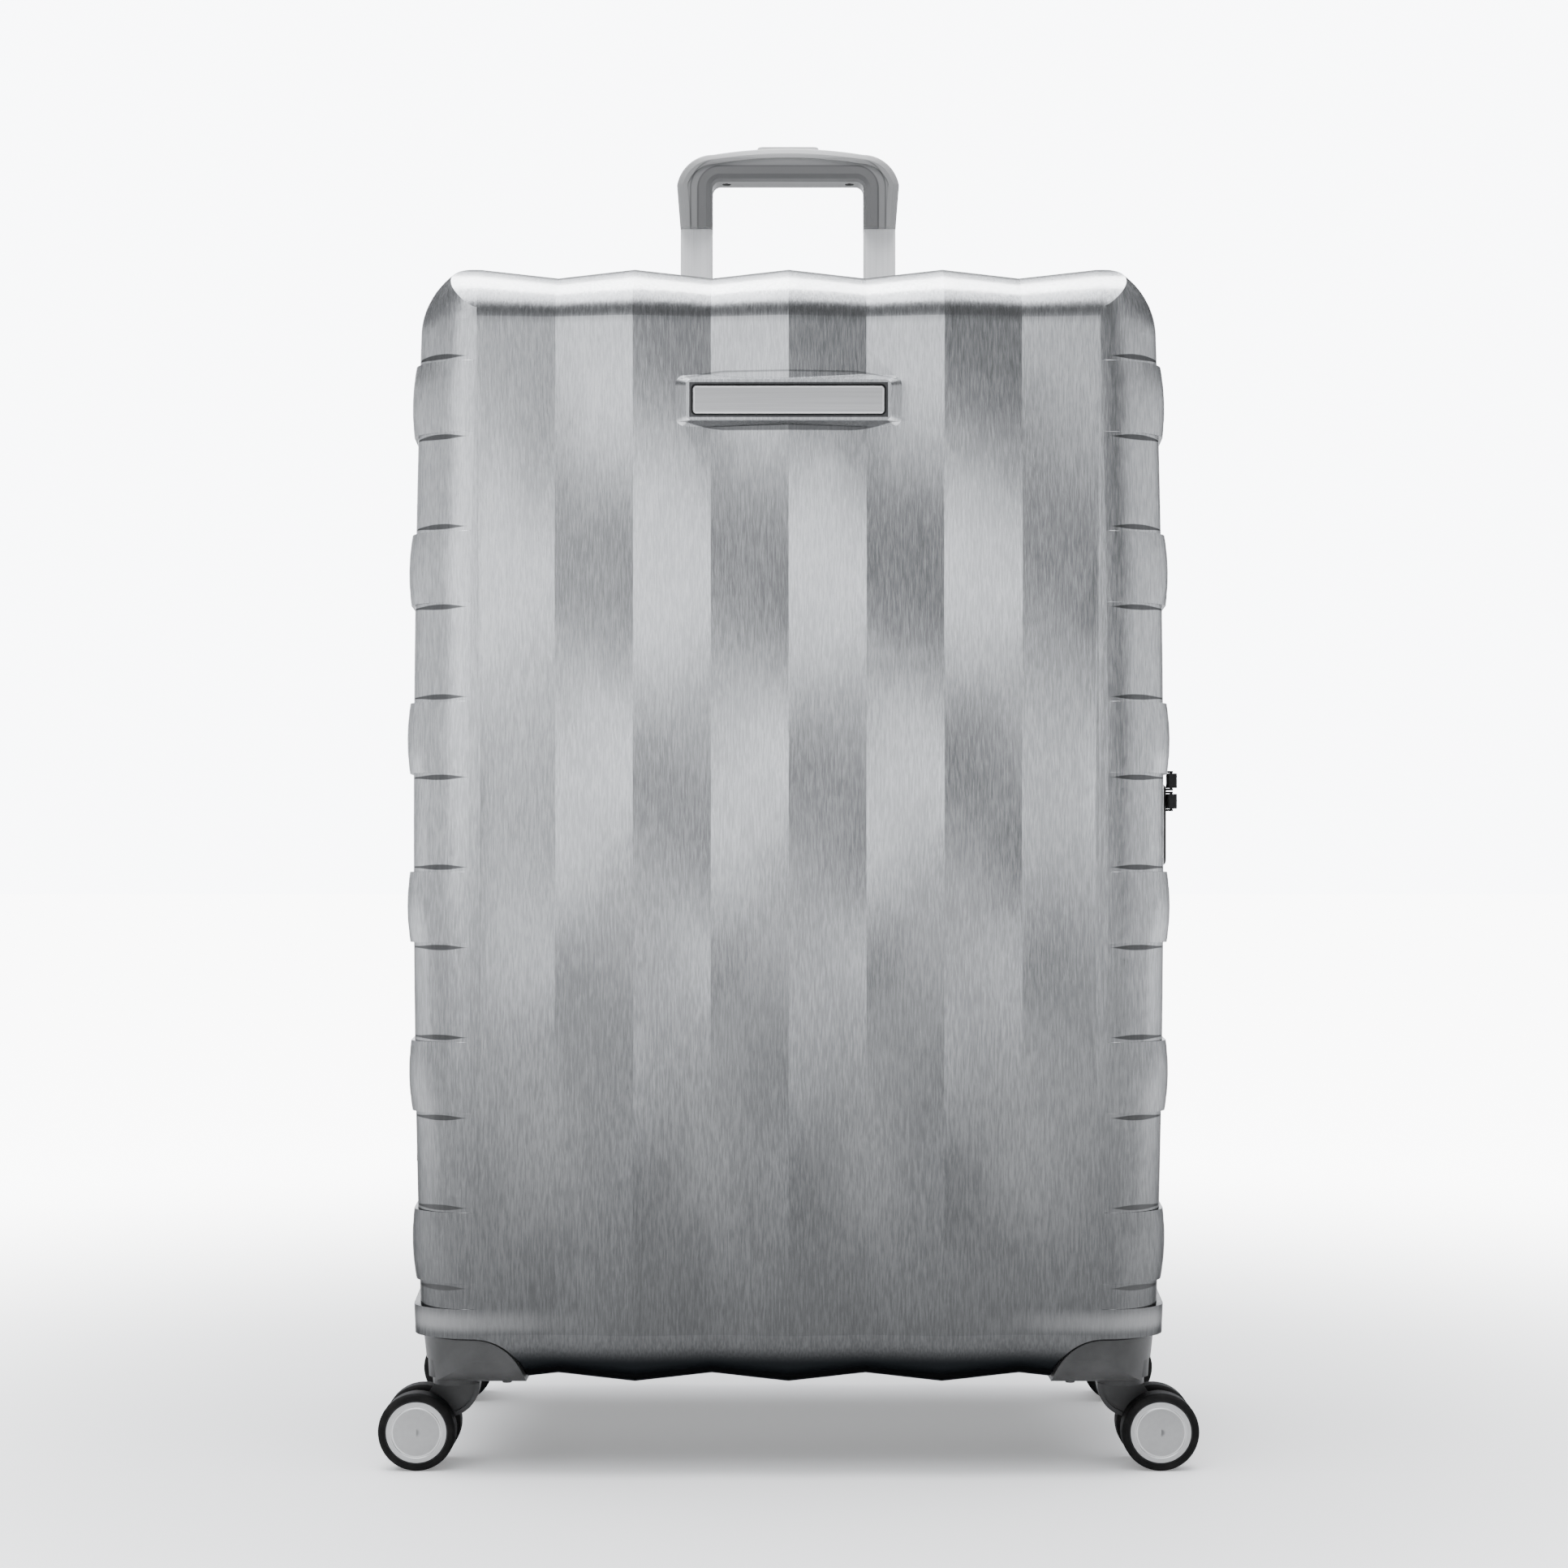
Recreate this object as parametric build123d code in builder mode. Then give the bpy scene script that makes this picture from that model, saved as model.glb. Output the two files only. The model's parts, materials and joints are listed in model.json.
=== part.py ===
from build123d import *
from math import cos, radians, sin
import os

os.makedirs("parts", exist_ok=True)

# Hard-shell suitcase on four twin-wheel casters.  Millimetres, +Z up, origin on the floor under the
# middle of the case, front face towards -Y, zip in the plane y = 0.

# ---- driving dimensions: the case ----
case_height = 723.5  # between the mean heights of the folded bottom and top edges
wheel_clearance = 10.7  # top of the wheels to the bottom edge
case_half_width = 241.5  # at the upper and lower ends of a side, before its barrel swell
case_half_depth = 160.0  # zip plane to the mean face of one half
wall = 2.2
barrel = 5.0  # swell of a side at mid height
zip_flare = 9.0  # growth in half width from the rounding to the zip
flare_up = 5.0  # growth in height over the same depth
top_corner = 42.0
bottom_corner = 37.0
round_side = 40.0
round_top = 33.0
round_bottom = 32.0
round_depth = 32.0
rounding_steps = 4
face_reach = 8.0  # how far the tub block runs on past the mean face
face_lip = 0.4  # step from the rounded side up to the outermost crease
edge_margin = 0.3  # how far the rounded ends start above and below the tub

# ---- folded face: vertical creases that stand out and in by turns ----
crease_pitch = 50.3
crease_count = 9
edge_fold = 2.8
face_fold = 3.0
fold_turns = (673.5, 526.5, 365.5, 239.5, 103.5)  # above the bottom edge, a crease furthest out or in

# ---- pillows: raised bands wrapped round the side edges ----
pillow_count = 6
pillow_pitch = 110.2
pillow_height = 52.0
first_pillow = 88.0  # middle of the lowest one above the bottom edge
pillow_rise = 4.2  # at the middle of its height
pillow_step = 2.4  # at its upper and lower ends
pillow_slope = 3.0
lip_height = 22.0  # flared lip above a caster housing

# ---- zip and hinge ----
rim_gap = 4.0  # shell edge to the zip plane
tape_width = 14.0
tape_thickness = 1.2
bead_height = 4.0
bead_width = 3.4
seat_gap = 0.3

# ---- casters ----
stem_in = 21.5  # from the side of the case
stem_back = 47.0  # from the face of the case
trail = 24.0
wheel_radius = 25.4
wheel_width = 16.0
wheel_spacing = 30.0
tyre_depth = 4.6
disc_depth = 1.6
axle_radius = 3.0
running_gap = 0.05
stem_radius = 5.0
collar_radius = 15.6
collar_height = 5.0
boss_radius = 19.0
opening_width = 71.5  # corner opening, from the side of the case
opening_depth = 98.0  # from the face of the case
opening_height = 29.5
opening_round = 34.0
opening_gap = 1.2
housing_proud = 1.5  # below the bottom edge
flange = 6.0
housing_round = 26.0
pocket_size = 62.0
pocket_shift = 2.0
pocket_depth = 14.0
stem_length = 22.0
hub_radius = 8.0
core_recess = 0.6
disc_ring = 16.4
disc_crown = 0.6

# ---- trolley handle ----
trolley_in = 42.0  # from the back of the case
tube_x = 68.4
inner_tube = (24.0, 13.0)
tube_wall = 1.3
tube_gap = 0.3
tube_corner = 3.0
inner_tube_length = 575.0
inner_tube_grip = 23.0  # how far it runs into the grip
middle_tube_length = 650.0
foot_floor = 9.2
groove = (4.6, 0.6)
collar_ring = 5.0
grip_rise = 87.0  # foot of the grip above the top edge; the heights below start from the foot
grip_height = 59.5
grip_shoulder = (26.9, 55.0)  # in from the widest place, height
grip_elbow = (6.8, 46.0)
grip_flare = 2.5  # widest place beyond the tube
grip_widest_up = 32.0
grip_inner_up = 34.8
grip_inner_round = 6.0
opening_run = 40.0  # how far the drawn opening runs on below the grip
grip_groove = (8.0, 10.2, 1.0)  # from the outer edge, from the inner edge, depth
grip_rounding = ((9.0, 0.0), (12.5, 1.6), (14.0, 4.8))  # half depth and how far both edges draw in
grip_half_depth = grip_rounding[-1][0]
screw_x = 46.0
bezel_size = (192.0, 46.0, 2.0)
bezel_rise = 5.0  # above the top edge
pad_depth = 30.0
socket_drop = 22.0  # below the top edge
socket_shelf = 3.0
socket_size = (32.0, 29.6)
button_size = (46.0, 16.0)
button_travel = 4.0
tube_seat = 12.0
button_floor_up = 50.0
button_proud = 2.0
rod_radius = 2.2
rod_length = 450.0
yoke_top_up = 48.0
yoke_height = 3.0
neck_width = 12.0

# ---- nameplate ----
plate_size = (123.4, 17.9)
plate_drop = 88.0  # below the top edge
plate_thickness = 2.2
boss_proud = 5.6

# ---- carry handles, in their own frame: length along X, outwards along Z ----
grip_length = 176.0
grip_width = 24.0
grip_thickness = 7.0
anchor_size = (34.0, 28.0, 13.0)
tang_size = (9.0, 17.0)
tang_depth = 9.0
handle_arch = 3.0
top_handle_y = 48.0
side_handle_y = 76.0
side_handle_up = 1.75  # above the middle of the side

# ---- lock and zip sliders ----
lock_up = 2.25  # above the middle of the side; the heights below start from its middle
lock_length = 57.0
lock_near, lock_far = 5.0, 41.0
lock_proud = 12.0
dial_radius = 6.0
dial_width = 4.4
dial_pitch = 8.5
dial_count = 3
dial_start = -17.5
dial_y = 27.0
spindle_radius = 1.5
lock_depth = 20.0
latch_up = 11.5
latch_size = 9.0
latch_depth = 4.0
latch_proud = 1.4
latch_travel = 4.0
slider_up = (31.0, 16.5)
slider_length = 14.0
slider_width = 8.0
slider_plate = 1.8
post_width = 1.6
pin_radius = 1.0
pull_length = 17.0
pull_rise = 10.2  # pivot above the slider

# ---- lining ----
lining_thickness = 1.0
lining_gap = 0.4
rear_floor_gap = 7.3  # to the handle tubes
front_floor_gap = 0.8  # to the deepest fold
strap_width = 25.0
strap_thickness = 1.4
strap_length = 560.0
strap_lean = 33.0
buckle_size = (62.0, 40.0, 8.0)
panel_depth = 8.0
panel_thickness = 2.0

crease_x = [(index - (crease_count - 1) / 2) * crease_pitch for index in range(crease_count)]
crease_side = [1 if index % 2 == 0 else -1 for index in range(crease_count)]
rounding_start = case_half_depth - round_depth

# ---- places that follow from the sizes ----
case_bottom = 2 * wheel_radius + wheel_clearance
case_top = case_bottom + case_height
side_middle = (case_top + case_bottom) / 2
zip_side = case_half_width + barrel + zip_flare
stem_x = case_half_width - stem_in
stem_y = case_half_depth - stem_back
opening_inner = case_half_width - opening_width
opening_back = case_half_depth - opening_depth
opening_top = case_bottom + opening_height
housing_bottom = case_bottom - housing_proud
trolley_y = case_half_depth - trolley_in
foot_low = case_bottom + edge_fold + wall + seat_gap
bezel_seat = case_top + bezel_rise
socket_floor = case_top - socket_drop
outer_tube_low, outer_tube_high = foot_low + foot_floor, socket_floor - socket_shelf
middle_tube_low, middle_tube_high = outer_tube_high - middle_tube_length, outer_tube_high
grip_low = case_top + grip_rise
inner_tube_high = grip_low + inner_tube_grip
inner_tube_low = inner_tube_high - inner_tube_length
grip_crown = grip_low + grip_height
grip_half_width = tube_x + inner_tube[0] / 2 + grip_flare
grip_inner_top = grip_low + grip_inner_up
button_floor = grip_low + button_floor_up
yoke_top = grip_low + yoke_top_up
plate_z = case_top - plate_drop
boss_face = case_half_depth + boss_proud
side_handle_z = side_middle + side_handle_up
lock_z = side_middle + lock_up
lock_face = zip_side + lock_proud
slider_x = zip_side + bead_height + seat_gap
pull_pivot = slider_x + pull_rise


def grown(section, grow):
    """Width and depth of a tube section grown all round."""
    return section[0] + 2 * grow, section[1] + 2 * grow


middle_bore = grown(inner_tube, tube_gap)
middle_tube = grown(middle_bore, tube_wall)
outer_bore = grown(middle_tube, tube_gap)
outer_tube = grown(outer_bore, tube_wall)
rear_floor = trolley_y - outer_tube[1] / 2 - rear_floor_gap
front_floor = case_half_depth - wall - face_fold - front_floor_gap


def save(piece, name):
    """Label one finished piece and write it to its own file."""
    piece.label = name
    export_step(piece, f"parts/{name}.step")


# ---- case form ----


def case_outline(depth, side, top, bottom, inset):
    """Case outline at one depth, drawn in at the sides, top and bottom and then all round."""
    half = case_half_width - side - inset
    high = case_top - top - inset
    low = case_bottom + bottom + inset
    upper = case_top - top_corner
    lower = case_bottom + bottom_corner
    end = crease_x[-1]
    top_line = [(x, high + edge_fold * out) for x, out in zip(crease_x, crease_side)]
    bottom_line = [(x, low - edge_fold * out) for x, out in zip(crease_x, crease_side)]
    rise = top_line[0][1] - upper
    fall = lower - bottom_line[0][1]
    with BuildSketch(Plane.XZ.offset(depth)) as face:
        with BuildLine():
            Polyline(*top_line)
            Polyline(*bottom_line)
            EllipticalCenterArc((end, upper), half - end, rise, 0, arc_size=90)
            EllipticalCenterArc((-end, upper), half - end, rise, 90, arc_size=90)
            EllipticalCenterArc((end, lower), half - end, fall, 270, arc_size=90)
            EllipticalCenterArc((-end, lower), half - end, fall, 180, arc_size=90)
            ThreePointArc((half, upper), (half + barrel, side_middle), (half, lower))
            ThreePointArc((-half, upper), (-half - barrel, side_middle), (-half, lower))
        make_face()
    return face.sketch


def drafted_outline(depth, inset=0.0):
    """Case outline on the drafted wall between the zip and the rounding."""
    share = 1 - depth / rounding_start
    return case_outline(depth, -zip_flare * share, -flare_up * share, -flare_up * share, inset)


def wall_block(near, far, inset=0.0):
    """Solid block inside the drafted wall from one depth to another, towards the front."""
    with BuildPart() as block:
        loft([drafted_outline(near, inset), drafted_outline(far, inset)], ruled=True)
    return block.part


def side_levels(near, inset):
    """Depth and sideways draw of the case at each step from the zip to the face."""
    turn = round_depth - inset
    levels = [(near, -zip_flare * (1 - near / rounding_start)), (rounding_start, 0.0)]
    for step in range(1, rounding_steps + 1):
        angle = radians(90 * step / rounding_steps)
        levels.append((rounding_start + turn * sin(angle), (round_side - inset) * (1 - cos(angle))))
    return levels


def tub_block(near, inset=0.0):
    """Drafted tub with its side edges rounded; it runs on past the folded face."""
    flare = -flare_up * (1 - near / rounding_start)
    levels = side_levels(near, inset)
    with BuildPart() as block:
        first, start = levels[0], levels[1]
        loft(
            [
                case_outline(first[0], first[1], flare, flare, inset),
                case_outline(start[0], start[1], 0, 0, inset),
            ],
            ruled=True,
        )
        loft([case_outline(depth, side, 0, 0, inset) for depth, side in levels[1:]])
        depth, side = levels[-1]
        last = case_outline(depth, side, 0, 0, inset)
        extrude(last, amount=face_reach)
    return block.part


def crease_section(x, swing, edge, inset):
    """Section of the folded block in one crease: its swings in depth and its rounded ends."""
    back = 20.0
    mean = case_half_depth + face_lip - inset
    swings = [swing * face_fold * (1 if turn % 2 == 0 else -1) for turn in range(len(fold_turns))]
    points = [(-mean - each, case_bottom + up) for each, up in zip(swings, fold_turns)]
    upper = case_top - round_top
    lower = case_bottom + round_bottom
    points = [(points[0][0], upper), *points, (points[-1][0], lower)]
    rise = case_top + edge_fold * edge - inset + edge_margin - upper
    fall = lower - (case_bottom - edge_fold * edge + inset - edge_margin)
    with BuildSketch(Plane.YZ.offset(x)) as section:
        with BuildLine():
            start = -rounding_start
            EllipticalCenterArc((start, upper), start - points[0][0], rise, 90, arc_size=90)
            Spline(*points, tangents=[(0, -1), (0, -1)])
            EllipticalCenterArc((start, lower), start - points[-1][0], fall, 180, arc_size=90)
            Polyline(
                (start, lower - fall),
                (start, lower - fall - face_reach),
                (back, lower - fall - face_reach),
                (back, upper + rise + face_reach),
                (start, upper + rise + face_reach),
                (start, upper + rise),
            )
        make_face()
    return section.sketch


def folded_block(inset=0.0):
    """Block behind the folded face: ruled strips that twist and run on over the top and bottom."""
    reach = case_half_width + 40
    end = crease_side[0]
    with BuildPart() as block:
        sections = [crease_section(-reach, 0, end, inset)]
        for x, out in zip(crease_x, crease_side):
            swing = 0 if abs(x) == crease_x[-1] else out
            sections.append(crease_section(x, swing, out, inset))
        sections.append(crease_section(reach, 0, end, inset))
        loft(sections, ruled=True)
    return block.part


def side_swell(z):
    """Barrel swell of a side at one height."""
    span = (case_top - top_corner - case_bottom - bottom_corner) / 2
    return barrel * (1 - ((z - side_middle) / span) ** 2)


def pillow_outline(depth, side, low, high, ends, crown, inset):
    """Outline of one pillow at one depth: its outer edge is an arc that stands proud of the side."""
    half = case_half_width - side - inset
    middle = (low + high) / 2
    inner = crease_x[-1] - 12
    with BuildSketch(Plane.XZ.offset(depth)) as face:
        with BuildLine():
            Polyline(
                (half + side_swell(high) + ends, high - pillow_slope - inset),
                (inner, high - inset),
                (inner, low + inset),
                (half + side_swell(low) + ends, low + pillow_slope + inset),
            )
            ThreePointArc(
                (half + side_swell(low) + ends, low + pillow_slope + inset),
                (half + side_swell(middle) + crown, middle),
                (half + side_swell(high) + ends, high - pillow_slope - inset),
            )
        make_face()
    return face.sketch


def pillow_block(low, high, ends, crown, inset):
    """One pillow of the right side, from the zip tape to where it runs out in the face."""
    levels = side_levels(tape_width, inset)
    with BuildPart() as block:
        for ruled, part in ((True, levels[:2]), (False, levels[1:])):
            outlines = []
            for depth, side in part:
                left = 1 - max(side, 0) / (round_side - inset)
                outlines.append(
                    pillow_outline(depth, side, low, high, ends * left, crown * left, inset)
                )
            loft(outlines, ruled=ruled)
    return block.part


def band_blocks(inset=0.0):
    """Pillows and the lips above the caster openings, on both sides."""
    blocks = []
    for index in range(pillow_count):
        middle = case_bottom + first_pillow + index * pillow_pitch
        low, high = middle - pillow_height / 2, middle + pillow_height / 2
        blocks.append(pillow_block(low, high, pillow_step, pillow_rise, inset))
    lip = opening_top - 4
    blocks.append(pillow_block(lip, lip + lip_height + 4, pillow_rise, pillow_rise, inset))
    return blocks + [mirror(block, about=Plane.YZ) for block in blocks]


def half_form(near, inset=0.0):
    """Outer form of the front half drawn in by inset: tub, pillows and folded face."""
    bands = band_blocks(inset)
    with BuildPart() as form:
        add(tub_block(near, inset))
        for band in bands:
            add(band)
        add(folded_block(inset), mode=Mode.INTERSECT)
    return form.part


def corner_block(side, half, grow=0.0):
    """Block of a caster opening: side is -1 or 1 for left or right, half -1 or 1 for front or rear."""
    inner = opening_inner - grow
    back = opening_back - grow
    top = opening_top + grow
    outer = case_half_width + 40
    deep = case_half_depth + 20
    low = 20.0
    with BuildPart() as block:
        with Locations((side * (inner + outer) / 2, half * (back + deep) / 2, (low + top) / 2)):
            Box(outer - inner, deep - back, top - low)
        corner = Vertex(side * inner, half * back, top)
        fillet(
            block.edges().filter_by(lambda edge: edge.distance_to(corner) < 0.01),
            radius=opening_round + grow,
        )
    return block.part


# ---- shells ----


def plate_boss():
    """Raised pad that carries the nameplate."""
    with BuildPart() as boss:
        with BuildSketch(Plane.XZ.offset(case_half_depth - 4)):
            with Locations((0, plate_z)):
                RectangleRounded(plate_size[0] + 34, plate_size[1] + 20, 8)
        with BuildSketch(Plane.XZ.offset(boss_face)):
            with Locations((0, plate_z)):
                RectangleRounded(plate_size[0] + 9, plate_size[1] + 8, 4)
        loft(ruled=True)
    return boss.part


def build_shell(outer, inner, half, boss=None):
    """One shell with its two caster openings; half is -1 for the front and 1 for the rear."""
    with BuildPart() as shell:
        add(outer)
        if boss:
            add(boss)
        add(inner, mode=Mode.SUBTRACT)
        for side in (-1, 1):
            add(corner_block(side, half), mode=Mode.SUBTRACT)
    return shell.part


front_outer = half_form(rim_gap)
front_inner = half_form(rim_gap - 1, wall)
rear_outer = mirror(front_outer, about=Plane.XZ)
rear_inner = mirror(front_inner, about=Plane.XZ)

with BuildPart() as front_shell:
    add(build_shell(front_outer, front_inner, -1, plate_boss()))
    with BuildSketch(Plane.XZ.offset(boss_face)):
        with Locations((0, plate_z)):
            RectangleRounded(plate_size[0] + 2.4, plate_size[1] + 2.4, 3.4)
    extrude(amount=-plate_thickness, mode=Mode.SUBTRACT)
save(front_shell.part, "front_shell")

with BuildPart() as rear_pad:
    with BuildSketch(Plane.XY.offset(bezel_seat - bezel_rise - pad_depth)):
        with Locations((0, trolley_y)):
            RectangleRounded(bezel_size[0] + 4, bezel_size[1] + 4, 10)
    extrude(amount=bezel_rise + pad_depth)
    fillet(rear_pad.faces().sort_by(Axis.Z)[-1].edges(), radius=1.2)

with BuildPart() as rear_shell:
    add(build_shell(rear_outer, rear_inner, 1, rear_pad.part))
    for side in (-1, 1):
        with BuildSketch(Plane.XY.offset(socket_floor - 20)):
            with Locations((side * tube_x, trolley_y)):
                RectangleRounded(socket_size[0] + 4, socket_size[1] + 4, 5)
        extrude(amount=60, mode=Mode.SUBTRACT)
save(rear_shell.part, "rear_shell")

# ---- casters ----

wheel_z = wheel_radius
front_seat = half_form(rim_gap, wall + seat_gap)
rear_seat = mirror(front_seat, about=Plane.XZ)


def caster_housing(side, half, seat):
    """Corner housing: cup that fills the opening, flange behind the shell's edge, boss and bore."""
    face = case_half_depth - 1.5
    top = opening_top - opening_gap
    reach = case_half_width + 40
    with BuildPart() as cup:
        with BuildSketch(Plane.XY.offset(top)) as plan:
            with Locations((0, half * face / 2)):
                Rectangle(2 * case_half_width - 2, face)
            fillet(plan.vertices().filter_by(lambda v: abs(v.Y) > 1), radius=round_side - 2)
        extrude(amount=-(top - housing_bottom), taper=6)
        add(corner_block(side, half, -opening_gap), mode=Mode.INTERSECT)
        with BuildSketch(Plane.YZ.offset(-reach)) as front_curve:
            with Locations((half * face / 2, (top + housing_bottom) / 2)):
                Rectangle(face, top - housing_bottom + 2)
            lower = front_curve.vertices().sort_by_distance((half * face, housing_bottom))[0]
            fillet(lower, radius=housing_round)
        extrude(amount=2 * reach, mode=Mode.INTERSECT)
    with BuildPart() as housing:
        add(seat)
        add(corner_block(side, half, flange), mode=Mode.INTERSECT)
        add(cup.part)
        with BuildSketch(Plane.XY.offset(housing_bottom - 4)):
            with Locations((side * (stem_x - pocket_shift), half * (stem_y - pocket_shift))):
                RectangleRounded(pocket_size, pocket_size, pocket_size / 3)
            with Locations((side * stem_x, half * stem_y)):
                Circle(boss_radius, mode=Mode.SUBTRACT)
        extrude(amount=4 + pocket_depth, mode=Mode.SUBTRACT)
        with BuildSketch(Plane.XY.offset(housing_bottom)):
            with Locations((side * stem_x, half * stem_y)):
                Circle(stem_radius + running_gap)
        extrude(amount=stem_length + 1, mode=Mode.SUBTRACT)
    return housing.part


def caster_fork(side, half):
    """Swivel fork: stem, collar, column between the wheels and the curved rib on its inner side."""
    x0 = side * stem_x
    y0 = half * stem_y
    x1 = side * (stem_x + trail)
    inside = x0 - side * collar_radius
    collar_top = housing_bottom - seat_gap
    collar_low = collar_top - collar_height
    web = wheel_spacing - wheel_width - 4
    rib = wheel_spacing - wheel_width - 1.4
    rib_end = (inside + side * 15, wheel_z + 8)
    with BuildPart() as fork:
        with BuildSketch(Plane.XY.offset(collar_low)):
            with Locations((x0, y0)):
                Circle(collar_radius)
        extrude(amount=collar_height)
        with BuildSketch(Plane.XY.offset(collar_top)):
            with Locations((x0, y0)):
                Circle(stem_radius)
        extrude(amount=stem_length)
        with BuildSketch(Plane.XZ.offset(-y0 - web / 2)):
            with BuildLine():
                Line((x0 + side * 14, collar_low), (inside + side, collar_low))
                ThreePointArc(
                    (inside + side, collar_low), (inside + side * 4.5, collar_low - 12), rib_end
                )
                Polyline(
                    rib_end,
                    (x1 - side * 5, wheel_z - 7),
                    (x1 + side * 5, wheel_z + 7),
                    (x0 + side * 14, collar_low),
                )
            make_face()
            with Locations((x1, wheel_z)):
                Circle(hub_radius)
        extrude(amount=web)
        with BuildSketch(Plane.XZ.offset(-y0 - rib / 2)):
            with BuildLine():
                rim = ThreePointArc((inside, collar_low), (inside + side * 3.2, collar_low - 12), rib_end)
                back = ThreePointArc(
                    (inside + side * 2.6, collar_low),
                    (inside + side * 5.8, collar_low - 11),
                    (rib_end[0] + side * 1.5, rib_end[1] + 2.4),
                )
                Line(rim @ 0, back @ 0)
                Line(rim @ 1, back @ 1)
            make_face()
        extrude(amount=rib)
        with BuildSketch(Plane.XZ.offset(-y0 - web)):
            with Locations((x1, wheel_z)):
                Circle(axle_radius)
        extrude(amount=2 * web, mode=Mode.SUBTRACT)
    return fork.part


def caster_axle(side, half):
    """Pin pressed through the fork that both wheels run on."""
    reach = (wheel_spacing + wheel_width) / 2 - core_recess - disc_depth - 0.2
    with BuildPart() as axle:
        with BuildSketch(Plane.XZ.offset(-half * stem_y - reach)):
            with Locations((side * (stem_x + trail), wheel_z)):
                Circle(axle_radius)
        extrude(amount=2 * reach)
        chamfer(axle.edges().filter_by(GeomType.CIRCLE), length=0.5)
    return axle.part


def turned_pair(side, half, profile):
    """Revolve a wheel profile about the axle at both wheels; the profile runs outwards from each centre."""
    x1 = side * (stem_x + trail)
    with BuildPart() as pair:
        for out in (-1, 1):
            centre = Plane(
                (x1, half * stem_y + out * wheel_spacing / 2, wheel_z), x_dir=(0, out, 0), z_dir=(out, 0, 0)
            )
            with BuildSketch(centre):
                add(profile)
            revolve(axis=Axis(centre.origin, (0, 1, 0)))
    return pair.part


# Wheel profiles: along X from the wheel's middle plane outwards, along Y from the axle outwards.
core_radius = wheel_radius - tyre_depth
core_face = wheel_width / 2 - core_recess

with BuildSketch() as tyre_profile:
    with Locations((0, wheel_radius - tyre_depth / 2)):
        Rectangle(wheel_width, tyre_depth)
    fillet(tyre_profile.vertices().group_by(Axis.Y)[-1], radius=2.8)

with BuildSketch() as core_profile:
    with Locations((0, (core_radius + axle_radius + running_gap) / 2)):
        Rectangle(2 * core_face, core_radius - axle_radius - running_gap)
    with Locations((core_face - disc_depth / 2, core_radius / 2 - 0.4)):
        Rectangle(disc_depth, core_radius - 0.8, mode=Mode.SUBTRACT)

crown_reach = disc_ring - 0.5
crown_radius = (crown_reach**2 + disc_crown**2) / (2 * disc_crown)
crown_centre = core_face + disc_crown - crown_radius
inner_face = core_face - disc_depth
with BuildSketch() as disc_profile:
    with BuildLine():
        Polyline(
            (core_face + disc_crown, 0),
            (inner_face, 0),
            (inner_face, core_radius - 1.0),
            (core_face, core_radius - 1.0),
            (core_face, disc_ring + 0.5),
            (core_face - 0.4, disc_ring),
            (core_face, crown_reach),
        )
        ThreePointArc(
            (core_face, crown_reach),
            (crown_centre + (crown_radius**2 - crown_reach**2 / 4) ** 0.5, crown_reach / 2),
            (core_face + disc_crown, 0),
        )
    make_face()

corners = {
    "front_left": (-1, -1, front_seat),
    "front_right": (1, -1, front_seat),
    "rear_left": (-1, 1, rear_seat),
    "rear_right": (1, 1, rear_seat),
}
for corner, (side, half, seat) in corners.items():
    save(caster_housing(side, half, seat), f"{corner}_housing")
    save(caster_fork(side, half), f"{corner}_fork")
    save(caster_axle(side, half), f"{corner}_axle")
    save(turned_pair(side, half, tyre_profile.sketch), f"{corner}_tyres")
    save(turned_pair(side, half, core_profile.sketch), f"{corner}_wheel_cores")
    save(turned_pair(side, half, disc_profile.sketch), f"{corner}_wheel_discs")

# ---- zip ----

with BuildPart() as front_zip_tape:
    add(wall_block(seat_gap, tape_width, -(seat_gap + tape_thickness)))
    add(wall_block(seat_gap, seat_gap + bead_width, -bead_height))
    add(wall_block(0, tape_width + 1, -seat_gap), mode=Mode.SUBTRACT)
save(front_zip_tape.part, "front_zip_tape")
rear_zip_tape = mirror(front_zip_tape.part, about=Plane.XZ)
save(rear_zip_tape, "rear_zip_tape")

# ---- lining, divider and straps ----

lining_outer = wall + lining_gap
lining_inner = lining_outer + lining_thickness


def lining_tray(outer, inner, half):
    """Lining of one half that also covers the two caster housings."""
    with BuildPart() as cavity:
        add(inner)
        for side in (-1, 1):
            add(corner_block(side, half, flange + lining_gap + lining_thickness), mode=Mode.SUBTRACT)
    with BuildPart() as tray:
        add(outer)
        for side in (-1, 1):
            add(corner_block(side, half, flange + lining_gap), mode=Mode.SUBTRACT)
        add(cavity.part, mode=Mode.SUBTRACT)
    return tray.part


def rounded_slab(near, far, inset):
    """Rounded block of the front half cut off flat at one depth."""
    reach = case_top + 40
    with BuildPart() as slab:
        add(tub_block(near, inset))
        add(folded_block(inset), mode=Mode.INTERSECT)
        with Locations((0, -far - reach / 2, reach / 2)):
            Box(2 * reach, reach, 2 * reach, mode=Mode.SUBTRACT)
    return slab.part


front_tray = rounded_slab(rim_gap, front_floor, lining_outer)
front_cavity = rounded_slab(rim_gap - 1, front_floor - lining_thickness, lining_inner)
save(lining_tray(front_tray, front_cavity, -1), "front_lining")

rear_tray = mirror(wall_block(rim_gap, rear_floor, lining_outer), about=Plane.XZ)
rear_cavity = mirror(wall_block(rim_gap - 1, rear_floor - lining_thickness, lining_inner), about=Plane.XZ)
save(lining_tray(rear_tray, rear_cavity, 1), "rear_lining")

save(wall_block(panel_depth - panel_thickness, panel_depth, lining_inner + seat_gap), "divider_panel")

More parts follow.
